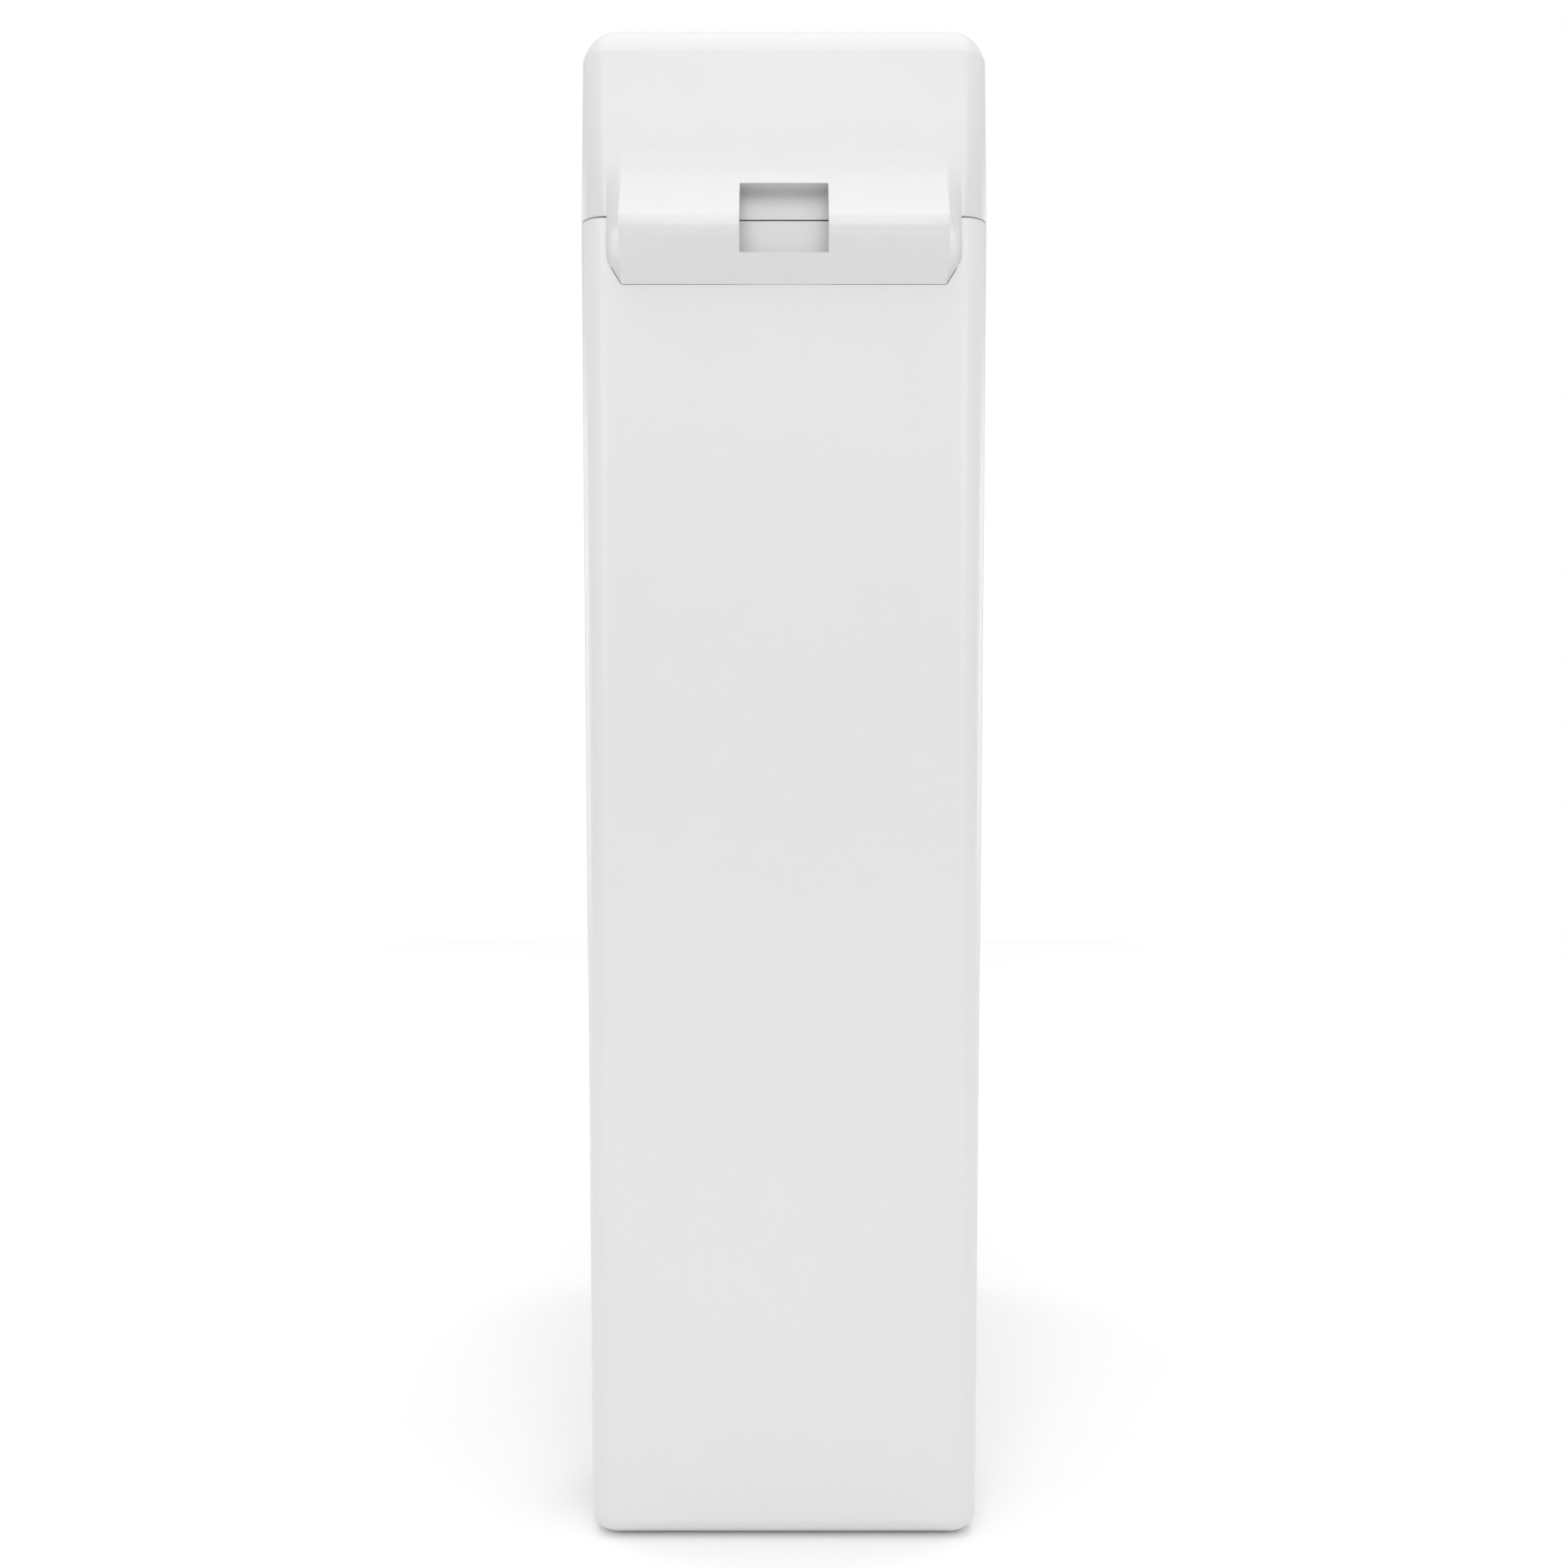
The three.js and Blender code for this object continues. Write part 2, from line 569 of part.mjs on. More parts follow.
add('press_frame', pressFrame(), 'darkSteel');
addPair('press_arm_a', 'steel', (side) => link(REAR_TOP, FRONT_LOW, sideSpan(side, ARM_A_X)));
addPair('press_arm_b', 'steel', (side) => link(REAR_LOW, FRONT_TOP, sideSpan(side, ARM_B_X)));
add('frame_pivot_shaft', shaft(REAR_TOP), 'steel');
add('ram_pivot_shaft', shaft(REAR_LOW), 'steel');
add('ram_slider_shaft', shaft(FRONT_LOW), 'steel');
add('scissor_centre_shaft', rodX(SHAFT_R, [-58.5, 58.5], ARM_MID_Y, ARM_MID_Z, 16), 'steel');
add('ram', ram(), 'darkSteel');
add('ram_face', box([-RAM_HALF + 1, RAM_HALF - 1], [RAM_Y[0] + 1, RAM_Y[1] - 1], RAM_FACE_Z), 'steel');
add('drive_nut', driveNut(), 'brass');

// ---- screw drive ----
const FRONT_BEARING_Y = [-185, -179];
const REAR_BEARING_Y = [2, 8];
const PULLEY_Y = [12, 22];
const SCREW_PULLEY_R = 13;
const MOTOR_PULLEY_R = 6.5;
const BELT_THICK = 1.5;

function screwBearing(y) {
  const block = box([-11, 11], y, [ARM_TOP_Z - 9, PRESS_PLATE_Z[0] - CLEAR]);
  return cut(block, rodY(SCREW_R + 0.2, [y[0] - 1, y[1] + 1], 0, ARM_TOP_Z));
}

add('lead_screw', rodY(SCREW_R, [FRONT_BEARING_Y[0] + 1, PULLEY_Y[1]], 0, ARM_TOP_Z, 24), 'steel');
add('screw_bearing_front', screwBearing(FRONT_BEARING_Y), 'darkSteel');
add('screw_bearing_rear', screwBearing(REAR_BEARING_Y), 'darkSteel');
add('screw_pulley', cut(rodY(SCREW_PULLEY_R, PULLEY_Y, 0, ARM_TOP_Z, 32),
  rodY(SCREW_R + 0.2, [PULLEY_Y[0] - 1, PULLEY_Y[1] + 1], 0, ARM_TOP_Z, 24)), 'greyPlastic');

function motor() {
  const can = rodY(MOTOR_R, [30, 112], MOTOR_X, MOTOR_Z, 32);
  const gearbox = box([MOTOR_X - 17, MOTOR_X + 17], [26, 31], [MOTOR_Z - 16, MOTOR_Z + 16]);
  const cap = rodY(7, [111, 118], MOTOR_X, MOTOR_Z, 20);
  const saddle = box([MOTOR_X - 12, MOTOR_X + 12], [45, 100], [MOTOR_Z, PRESS_PLATE_Z[0] - CLEAR]);
  const shaftBore = rodY(3.3, [25, 29], MOTOR_X, MOTOR_Z, 16);
  return cut(join(can, gearbox, cap, saddle), shaftBore);
}

function motorPulley() {
  return join(rodY(MOTOR_PULLEY_R, PULLEY_Y, MOTOR_X, MOTOR_Z, 20), rodY(3, [20, 28.5], MOTOR_X, MOTOR_Z, 16));
}

// the [x, z] outline of a belt round both pulleys, at a distance from their rims
function beltOutline(offset) {
  const dx = MOTOR_X;
  const dz = MOTOR_Z - ARM_TOP_Z;
  const lean = Math.acos((SCREW_PULLEY_R - MOTOR_PULLEY_R) / Math.hypot(dx, dz));
  const line = Math.atan2(dz, dx);
  const points = [];
  const arc = (cx, cz, radius, start, end) => {
    for (let i = 0; i <= 12; i++) {
      const angle = start + (end - start) * i / 12;
      points.push([cx + radius * Math.cos(angle), cz + radius * Math.sin(angle)]);
    }
  };
  arc(MOTOR_X, MOTOR_Z, MOTOR_PULLEY_R + offset, line - lean, line + lean);
  arc(0, ARM_TOP_Z, SCREW_PULLEY_R + offset, line + lean, line - lean + Math.PI * 2);
  return points;
}

function driveBelt() {
  const outside = barY(beltOutline(CLEAR + BELT_THICK), [PULLEY_Y[0] + 1.5, PULLEY_Y[1] - 1.5]);
  const inside = barY(beltOutline(CLEAR), [PULLEY_Y[0], PULLEY_Y[1]]);
  return cut(outside, inside);
}

add('motor', motor(), 'darkSteel');
add('motor_pulley', motorPulley(), 'greyPlastic');
add('drive_belt', driveBelt(), 'rubber');

// ---- controls ----
const BOARD_Y = [-190.9, -189.3];

add('control_board', box([-42, 42], BOARD_Y, [628, 679]), 'board');

function button(side) {
  const x = side * BUTTON_X;
  const cap = rodY(BUTTON_R, [-199.2, -195], x, BUTTON_Z, 24);
  const flange = rodY(BUTTON_R + 1.5, [-195.9, -194.7], x, BUTTON_Z, 24);
  const stem = rodY(2, [-195, -193], x, BUTTON_Z, 12);
  return join(cap, flange, stem);
}
add('start_button', button(1), 'button');
add('stop_button', button(-1), 'button');
add('status_lens', rodY(LENS_R, [-199.1, -195.5], 0, LENS_Z, 16), 'lens');

// ---- lid lock ----
const LOCK_Z = [SEAM_Z - 14.6, SEAM_Z - 2.8];
const BOLT_Z = [SEAM_Z - 9.8, SEAM_Z - 5.8];
const BOLT_X = 4;

function lockBody() {
  const block = box([-16, 16], [-191, -181.2], LOCK_Z);
  const ears = [1, -1].map((side) => box(sideSpan(side, [14, 21]), [-196.5, -181.2], [LOCK_Z[0], SEAM_Z - 5.4]));
  const channelHole = box([-BOLT_X - CLEAR, BOLT_X + CLEAR], [-195, -183], [BOLT_Z[0] - CLEAR, BOLT_Z[1] + CLEAR]);
  return cut(join(block, ...ears), channelHole);
}

function strikePlate() {
  const plate = box([-9, 9], [-194.6, -193], [SEAM_Z - 12, SEAM_Z + 0.3]);
  const foot = box([-9, 9], [-194.6, -190.5], [SEAM_Z - 2.2, SEAM_Z + 0.3]);
  const keyhole = box([-BOLT_X - 1, BOLT_X + 1], [-200, -192], [BOLT_Z[0] - 1, BOLT_Z[1] + 1]);
  return cut(join(plate, foot), keyhole);
}
add('lock_body', lockBody(), 'blackPlastic');
add('lock_bolt', box([-BOLT_X, BOLT_X], [-192.5, -184], BOLT_Z), 'steel');
add('strike_plate', strikePlate(), 'steel');

// ---- power and wiring ----
function powerInlet() {
  const socket = box([66, 86.5], [INLET_Y[0] + CLEAR, INLET_Y[1] - CLEAR], [INLET_Z[0] + CLEAR, INLET_Z[1] - CLEAR]);
  const well = box([71, 90], [INLET_Y[0] + 3, INLET_Y[1] - 3], [INLET_Z[0] + 3, INLET_Z[1] - 3]);
  const blades = [-6, 6].map((offset) => box([70, 82],
    [(INLET_Y[0] + INLET_Y[1]) / 2 + offset - 1, (INLET_Y[0] + INLET_Y[1]) / 2 + offset + 1], [16, 20]));
  return join(cut(socket, well), ...blades);
}
add('power_inlet', powerInlet(), 'blackPlastic');
add('power_supply', box([-46, 46], [40, 150], [FLOOR_Z + 2.8, 24]), 'greyPlastic');

const HARNESS_R = 1.5;
const CABLE_Z = SEAM_Z - 11; // height of the lead along the rim
add('inlet_lead', tube([[65.6, 134, 18], [56, 134, 18], [46.4, 134, 18]], HARNESS_R, 4), 'blackPlastic');
add('body_harness', tube([[46.4, 108, 14], [66, 108, 14], [80, 108, 14.5], [82.8, 108, 22], [83.3, 107, 60],
  [87, 104, SEAM_Z - 41], [87.3, 100, CABLE_Z - 4], [87.3, 88, CABLE_Z], [87.3, 0, CABLE_Z], [87.3, -160, CABLE_Z],
  [87, -180, CABLE_Z], [84, -188, CABLE_Z], [77.4, -189, CABLE_Z]], HARNESS_R, 72), 'blackPlastic');
add('body_contacts', box([60, 77], [-193.2, -184], [SEAM_Z - 14.5, SEAM_Z - 1.4]), 'blackPlastic');
add('lid_contacts', box([60, 77], [-193.2, -184], [SEAM_Z + 0.9, SEAM_Z + 9.5]), 'blackPlastic');
add('lid_harness', tube([[68, -188.6, SEAM_Z + 9.9], [68, -188.2, 626], [66.5, -188.3, 640], [58, -190, 646],
  [42.5, -190.1, 646]], HARNESS_R, 20), 'blackPlastic');

export default compactor;
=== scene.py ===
"""Looks of the slim trash compactor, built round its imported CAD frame. Metres, +Z up, rear is +Y."""
import json
import math

import bmesh
import bpy
from mathutils import Matrix, Vector


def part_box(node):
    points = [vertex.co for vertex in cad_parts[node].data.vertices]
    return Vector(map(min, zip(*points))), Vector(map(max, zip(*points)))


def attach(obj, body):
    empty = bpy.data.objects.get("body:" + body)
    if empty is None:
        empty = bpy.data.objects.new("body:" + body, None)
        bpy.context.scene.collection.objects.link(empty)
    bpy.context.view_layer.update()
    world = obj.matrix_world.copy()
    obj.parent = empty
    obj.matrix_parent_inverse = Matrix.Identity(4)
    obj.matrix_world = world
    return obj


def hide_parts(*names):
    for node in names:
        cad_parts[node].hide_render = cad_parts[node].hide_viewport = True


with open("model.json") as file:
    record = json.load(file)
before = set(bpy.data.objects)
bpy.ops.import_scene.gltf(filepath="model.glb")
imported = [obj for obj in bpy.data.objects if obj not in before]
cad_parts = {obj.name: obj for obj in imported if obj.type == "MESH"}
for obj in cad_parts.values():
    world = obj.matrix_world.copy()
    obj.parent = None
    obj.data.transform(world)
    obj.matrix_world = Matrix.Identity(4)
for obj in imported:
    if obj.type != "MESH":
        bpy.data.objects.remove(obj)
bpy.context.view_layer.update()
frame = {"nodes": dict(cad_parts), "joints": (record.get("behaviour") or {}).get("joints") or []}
MM = 0.001


# ---- places taken from the frame ----
HOUSING_LOW, HOUSING_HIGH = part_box("housing")
LID_LOW, LID_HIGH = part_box("lid_shell")
RIM_Z = HOUSING_HIGH[2]
CAD_GAP = 1.2 * MM  # between housing and lid in the CAD
SEAM_GAP = 0.7 * MM  # the visible seam, finer and on the same middle height
SEAM_Z = RIM_Z + CAD_GAP / 2
LID_Z = SEAM_Z + SEAM_GAP / 2
EDGE_Z = SEAM_Z - SEAM_GAP / 2
TOP_Z = LID_HIGH[2]
BOTTOM_Z = HOUSING_LOW[2]
FRONT_Y = LID_LOW[1]
COVER_REAR_Y = LID_HIGH[1]
REAR_Y = COVER_REAR_Y - 16 * MM
HALF_SEAM = LID_HIGH[0]
HALF_BOTTOM = HALF_SEAM - 4.8 * MM
HALF_TOP = HALF_SEAM - 0.8 * MM
CORNER_R = 10 * MM
CREASE = 8.0  # degrees between a wall and the start of its corner
WALL = 3 * MM
REAR_EXTRA = 3 * MM  # the rear wall is this much thicker, for the hinge recess
MIN_CORNER_R = 2 * MM
BOTTOM_FILLET = 9 * MM
BOTTOM_CORNER_R = 4 * MM  # of the outline where the rounded edge ends
TOP_EDGE_IN = 12 * MM  # the lid's top edge goes this far in
TOP_EDGE_DOWN = 14.5 * MM  # and starts this far down
TOP_EDGE_CREASE = 30.0  # degrees between the wall and the start of the top edge
TOP_CORNER_R = 5 * MM
EDGE = 0.5 * MM  # radius of the small moulded edges
EDGE_START = 0.15 * MM  # where a small edge is half way round
CUT_Y = 0.19  # tools that cut the rear wall end here, outside it

JOINTS = {joint["name"]: joint for joint in frame["joints"]}
HINGE_Y, HINGE_Z = JOINTS["lid_hinge"]["pos_m"][1:]
X_AXIS, Y_AXIS, Z_AXIS = (1, 0, 0), (0, 1, 0), (0, 0, 1)
DRAWER_LOW, DRAWER_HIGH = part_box("drawer_panel")

# the hinge cover on the rear of the lid, and the room for it in the rear walls
RECESS_X = 74.6 * MM
RECESS_Y = 181 * MM
FOOT_Y = REAR_Y + 0.05 * MM  # the cover's plane just off the housing wall
COVER_TIP = (FOOT_Y, LID_LOW[2])
COVER_TOP = (REAR_Y - 0.3 * MM, SEAM_Z + 23.5 * MM)
COVER_ARC = (COVER_REAR_Y - 10 * MM, SEAM_Z - 8.5 * MM)
COVER_ARC_R = 10 * MM
COVER_FACE_X = 73.6 * MM  # where the crest ends
COVER_BASE_X = 80.5 * MM  # where the sloping ends meet the wall
POCKET_R = 8.1 * MM  # room for the lower lip to swing
WINDOW_X = 19.9 * MM
NICHE_X = WINDOW_X + 1 * MM  # the wall is deeper behind the window
NICHE_Y = 179.4 * MM
WINDOW_Z = (SEAM_Z - 19.4 * MM, SEAM_Z + 13.3 * MM)


# ---- mesh tools ----
def finish_mesh(name, bm, sharp=35):
    """An object from a bmesh, with smooth faces that stay sharp over that many degrees."""
    bmesh.ops.recalc_face_normals(bm, faces=bm.faces)
    mesh = bpy.data.meshes.new(name)
    bm.to_mesh(mesh)
    bm.free()
    piece = bpy.data.objects.new(name, mesh)
    bpy.context.collection.objects.link(piece)
    smooth(piece, sharp)
    return piece


def smooth(piece, sharp=35):
    for face in piece.data.polygons:
        face.use_smooth = True
    piece.data.set_sharp_from_angle(angle=math.radians(sharp))


def apply_modifiers(piece):
    graph = bpy.context.evaluated_depsgraph_get()
    graph.update()
    mesh = bpy.data.meshes.new_from_object(piece.evaluated_get(graph))
    piece.modifiers.clear()
    piece.data = mesh


def boolean(piece, tool, operation="DIFFERENCE"):
    step = piece.modifiers.new("boolean", "BOOLEAN")
    step.object = tool
    step.operation = operation
    step.solver = "EXACT"
    apply_modifiers(piece)
    bpy.data.objects.remove(tool)
    return piece


def bevel(piece, width=EDGE, segments=2, limit=40):
    step = piece.modifiers.new("bevel", "BEVEL")
    step.width = width
    step.segments = segments
    step.limit_method = "ANGLE"
    step.angle_limit = math.radians(limit)
    step.miter_outer = "MITER_ARC"
    apply_modifiers(piece)
    return piece


def round_ring(half, front, rear, radius, z, steps=14, crease=0.0):
    """A rectangle with round corners at height z, anticlockwise from above.

    A corner meets its walls at the crease angle in degrees, 0 for a smooth run-in.
    """
    points = []
    start, sweep = math.radians(crease), math.radians(90 - 2 * crease)
    span = math.cos(start) - math.sin(start)
    centres = ((half - radius, rear - radius), (-half + radius, rear - radius),
               (-half + radius, front + radius), (half - radius, front + radius))
    for turn, (cx, cy) in enumerate(centres):
        for i in range(steps + 1):
            angle = start + sweep * i / steps
            along = radius * (math.cos(angle) - math.sin(start)) / span
            across = radius * (math.sin(angle) - math.sin(start)) / span
            for _ in range(turn):
                along, across = -across, along
            points.append((cx + along, cy + across, z))
    return points


def loft(name, rings, sharp=35):
    """A closed solid through rings of equal length, with its two ends capped."""
    bm = bmesh.new()
    rows = [[bm.verts.new(point) for point in ring] for ring in rings]
    for low, high in zip(rows, rows[1:]):
        for i in range(len(low)):
            j = (i + 1) % len(low)
            bm.faces.new((low[i], low[j], high[j], high[i]))
    bm.faces.new(rows[0][::-1])
    bm.faces.new(rows[-1])
    return finish_mesh(name, bm, sharp)


def box(low, high, name="tool"):
    bm = bmesh.new()
    bmesh.ops.create_cube(bm, size=1.0)
    for vertex in bm.verts:
        vertex.co = Vector((low[k] + (vertex.co[k] + 0.5) * (high[k] - low[k]) for k in range(3)))
    return finish_mesh(name, bm)


def round_box(low, high, radius, name="tool", segments=4):
    piece = box(low, high, name)
    return bevel(piece, radius, segments)


def hull(points, name="tool"):
    bm = bmesh.new()
    for point in points:
        bm.verts.new(point)
    bmesh.ops.convex_hull(bm, input=bm.verts)
    return finish_mesh(name, bm)


def turned(name, profile, centre, axis, sides=40, sharp=35):
    """A lathe piece: profile is (distance along axis, radius) pairs whose two ends are closed."""
    spin = Vector(axis).to_track_quat("Z", "Y").to_matrix()
    rings = []
    for along, radius in profile:
        ring = []
        for i in range(sides):
            angle = math.tau * i / sides
            local = Vector((radius * math.cos(angle), radius * math.sin(angle), along))
            ring.append(Vector(centre) + spin @ local)
        rings.append(ring)
    return loft(name, rings, sharp)


def refine(node, width=0.35 * MM, segments=2, name=None):
    """A finer copy of a CAD node: flat faces merged, and its edges rounded."""
    bm = bmesh.new()
    bm.from_mesh(frame["nodes"][node].data)
    bmesh.ops.remove_doubles(bm, verts=bm.verts, dist=1e-6)
    bmesh.ops.dissolve_limit(bm, angle_limit=math.radians(2), verts=bm.verts, edges=bm.edges)
    piece = finish_mesh(name or node + "_fine", bm)
    bevel(piece, width, segments)
    smooth(piece)
    return piece


# ---- materials ----
def material(name, colour, roughness, metallic=0.0):
    """A Principled material, its shader and its node tree."""
    made = bpy.data.materials.new(name)
    made.use_nodes = True
    tree = made.node_tree
    shader = tree.nodes["Principled BSDF"]
    shader.inputs["Base Color"].default_value = (*colour, 1.0)
    shader.inputs["Roughness"].default_value = roughness
    shader.inputs["Metallic"].default_value = metallic
    return made, shader, tree


def noise(tree, scale, detail=4.0, stretch=None):
    texture = tree.nodes.new("ShaderNodeTexNoise")
    texture.inputs["Scale"].default_value = scale
    texture.inputs["Detail"].default_value = detail
    place = tree.nodes.new("ShaderNodeTexCoord")
    if stretch:
        mapping = tree.nodes.new("ShaderNodeMapping")
        mapping.inputs["Scale"].default_value = stretch
        tree.links.new(place.outputs["Object"], mapping.inputs["Vector"])
        tree.links.new(mapping.outputs["Vector"], texture.inputs["Vector"])
    else:
        tree.links.new(place.outputs["Object"], texture.inputs["Vector"])
    return texture.outputs["Fac"]


def ramp(tree, fac, low, high, start=0.3, end=0.7):
    """Turns a 0 to 1 value into a colour or grey between low and high."""
    node = tree.nodes.new("ShaderNodeValToRGB")
    stops = node.color_ramp.elements
    stops[0].position, stops[1].position = start, end
    stops[0].color = (*low, 1.0)
    stops[1].color = (*high, 1.0)
    tree.links.new(fac, node.inputs["Fac"])
    return node.outputs["Color"]


def bump(tree, shader, height, strength, distance):
    node = tree.nodes.new("ShaderNodeBump")
    node.inputs["Strength"].default_value = strength
    node.inputs["Distance"].default_value = distance
    tree.links.new(height, node.inputs["Height"])
    tree.links.new(node.outputs["Normal"], shader.inputs["Normal"])


def grey(value):
    return (value, value, value)


def plastic(name, colour, roughness, texture_scale=900.0, depth=0.02 * MM, spread=0.06):
    """Moulded plastic: faint tone and gloss drift, and a fine spark-eroded texture."""
    made, shader, tree = material(name, colour, roughness)
    drift = noise(tree, 7.0, 3.0)
    dark = tuple(c * (1 - spread) for c in colour)
    tree.links.new(ramp(tree, drift, dark, colour), shader.inputs["Base Color"])
    gloss = ramp(tree, noise(tree, 40.0, 5.0), grey(roughness * 0.9), grey(roughness * 1.12))
    tree.links.new(gloss, shader.inputs["Roughness"])
    bump(tree, shader, noise(tree, texture_scale, 3.0), 0.35, depth)
    return made


def metal(name, colour, roughness, stretch, spread=0.1):
    """Rolled or turned metal with a fine grain along one direction."""
    made, shader, tree = material(name, colour, roughness, 1.0)
    grain = noise(tree, 60.0, 6.0, stretch)
    tree.links.new(ramp(tree, grain, tuple(c * (1 - spread) for c in colour), colour), shader.inputs["Base Color"])
    tree.links.new(ramp(tree, grain, grey(roughness * 0.75), grey(roughness * 1.3)), shader.inputs["Roughness"])
    bump(tree, shader, grain, 0.2, 0.02 * MM)
    return made


white = plastic("white_abs", (0.705, 0.705, 0.705), 0.36, spread=0.006)
bin_grey = plastic("bin_polypropylene", (0.15, 0.165, 0.18), 0.5, 500.0, 0.03 * MM)
black = plastic("black_nylon", (0.022, 0.022, 0.025), 0.45, 700.0, 0.03 * MM)
mid_grey = plastic("grey_nylon", (0.27, 0.28, 0.3), 0.45, 700.0, 0.03 * MM)
key_grey = plastic("key_plastic", (0.55, 0.57, 0.6), 0.35, 900.0)
rubber = plastic("black_rubber", (0.018, 0.018, 0.018), 0.8, 350.0, 0.05 * MM)
steel = metal("zinc_steel", (0.62, 0.63, 0.65), 0.3, (1.0, 0.08, 1.0))
turned_steel = metal("turned_steel", (0.6, 0.6, 0.62), 0.22, (12.0, 1.0, 1.0))
brass = metal("turned_brass", (0.72, 0.52, 0.22), 0.26, (8.0, 1.0, 1.0))


def coated_steel():
    made, shader, tree = material("powder_coat", (0.07, 0.075, 0.08), 0.5)
    speck = noise(tree, 1400.0, 2.0)
    tree.links.new(ramp(tree, speck, (0.06, 0.064, 0.07), (0.085, 0.09, 0.098)), shader.inputs["Base Color"])
    bump(tree, shader, speck, 0.6, 0.04 * MM)
    return made


coated = coated_steel()


# ---- drafted outside of the cabinet ----
def wall_ring(z, draft, inset, rear_extra, radius):
    """The outline at height z, drawn in by the draft and the inset; the rear wall by its extra too."""
    if radius is None:
        radius = max(CORNER_R - inset, MIN_CORNER_R)
    shrink = draft + inset
    return round_ring(HALF_SEAM - shrink, FRONT_Y + shrink, REAR_Y - shrink - rear_extra, radius, z, crease=CREASE)


def body_section(z, inset=0.0, rear_extra=0.0, radius=None):
    draft = (HALF_SEAM - HALF_BOTTOM) * (SEAM_Z - z) / SEAM_Z
    return wall_ring(z, draft, inset, rear_extra, radius)


def lid_section(z, inset=0.0, rear_extra=0.0, radius=None):
    draft = (HALF_SEAM - HALF_TOP) * (z - SEAM_Z) / (TOP_Z - SEAM_Z)
    return wall_ring(z, draft, inset, rear_extra, radius)


def quarter(section, end_z, radius, direction, steps, corner_end=None, height=None, crease=0.0):
    """Sections of a rounded edge that ends flat at end_z; direction is +1 upward, -1 downward.

    The edge goes in by the radius over the height, and leaves the wall at the crease angle in degrees.
    """
    height = radius if height is None else height
    start = math.radians(crease)
    rings = []
    for i in range(steps + 1):
        angle = start + (math.pi / 2 - start) * i / steps
        inward = (math.cos(start) - math.cos(angle)) / math.cos(start)
        upward = (math.sin(angle) - math.sin(start)) / (1 - math.sin(start))
        corner = None
        if corner_end is not None:
            corner = CORNER_R + (corner_end - CORNER_R) * inward
        rings.append(section(end_z - direction * height * (1 - upward), radius * inward, radius=corner))
    return rings


def housing_body():
    inner = [body_section(BOTTOM_Z + WALL, WALL + 6 * MM, REAR_EXTRA), body_section(16 * MM, WALL, REAR_EXTRA),
             body_section(EDGE_Z - EDGE, WALL, REAR_EXTRA)]
    rim_in = body_section(EDGE_Z, WALL - EDGE, REAR_EXTRA, radius=CORNER_R - WALL)
    rim_out = quarter(body_section, EDGE_Z, EDGE, 1, 3)[::-1]
    outside = quarter(body_section, BOTTOM_Z, BOTTOM_FILLET, -1, 10, BOTTOM_CORNER_R)
    piece = loft("housing_shell", inner + [rim_in] + rim_out + outside)
    boss_x, boss_front, boss_rear, boss_half = 83 * MM, 172.5 * MM, 179 * MM, 12.5 * MM
    boss = box((-boss_x, boss_front, HINGE_Z - boss_half), (boss_x, boss_rear, HINGE_Z + boss_half))
    boolean(piece, boss, "UNION")
    gap = 0.7 * MM
    mouth = box((-0.1, -0.22, DRAWER_LOW[2] - gap), (0.1, -188 * MM, DRAWER_HIGH[2] + gap))
    boolean(piece, mouth)
    above = EDGE_Z + 5 * MM
    boolean(piece, box((-RECESS_X, RECESS_Y, HINGE_Z), (RECESS_X, CUT_Y, above)))
    boolean(piece, box((-NICHE_X, NICHE_Y, WINDOW_Z[0] - 1 * MM), (NICHE_X, CUT_Y, above)))
    half, tip, point_r = COVER_FACE_X + 0.12 * MM, COVER_BASE_X - 1.75 * MM, 0.1 * MM
    profile = [(-tip, point_r), (-half, POCKET_R), (half, POCKET_R), (tip, point_r)]
    boolean(piece, turned("pocket", profile, (0, HINGE_Y, HINGE_Z), X_AXIS, 64))
    low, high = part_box("power_inlet")
    gap = 0.3 * MM
    boolean(piece, box((0.08, low[1] - gap, low[2] - gap), (0.1, high[1] + gap, high[2] + gap)))
    smooth(piece, 32)
    return piece


# ---- hinge cover ----
def tangent_angle(point, above):
    """Angle on the crest arc where the straight flank from the point touches it."""
    dy, dz = point[0] - COVER_ARC[0], point[1] - COVER_ARC[1]
    spread = math.acos(COVER_ARC_R / math.hypot(dy, dz))
    towards = math.atan2(dz, dy)
    return towards - spread if above else towards + spread


def cover_profile(count=14):
    """The cover's (y, z) section from its lower tip over the crest to its faded upper end."""
    start, end = tangent_angle(COVER_TIP, False), tangent_angle(COVER_TOP, True)
    arc = []
    for i in range(count + 1):
        angle = start + (end - start) * i / count
        arc.append((COVER_ARC[0] + COVER_ARC_R * math.cos(angle), COVER_ARC[1] + COVER_ARC_R * math.sin(angle)))
    low = [(COVER_TIP[0] + (arc[0][0] - COVER_TIP[0]) * t, COVER_TIP[1] + (arc[0][1] - COVER_TIP[1]) * t)
           for t in (0, 0.04, 0.35, 0.7)]
    upper = []
    slope = (COVER_TOP[0] - arc[-1][0]) / (COVER_TOP[1] - arc[-1][1])
    blend, run_on, sink = 2.4 * MM, 8 * MM, 0.45 * MM  # the flank fades into the wall and ends inside it
    for i in range(1, count + 1):
        z = arc[-1][1] + (COVER_TOP[1] + run_on - arc[-1][1]) * i / count
        rise = arc[-1][0] + slope * (z - arc[-1][1]) - REAR_Y
        rise = blend * math.log1p(math.exp(min(rise / blend, 40.0)))
        upper.append((REAR_Y + rise - sink, z))
    return low + arc + upper


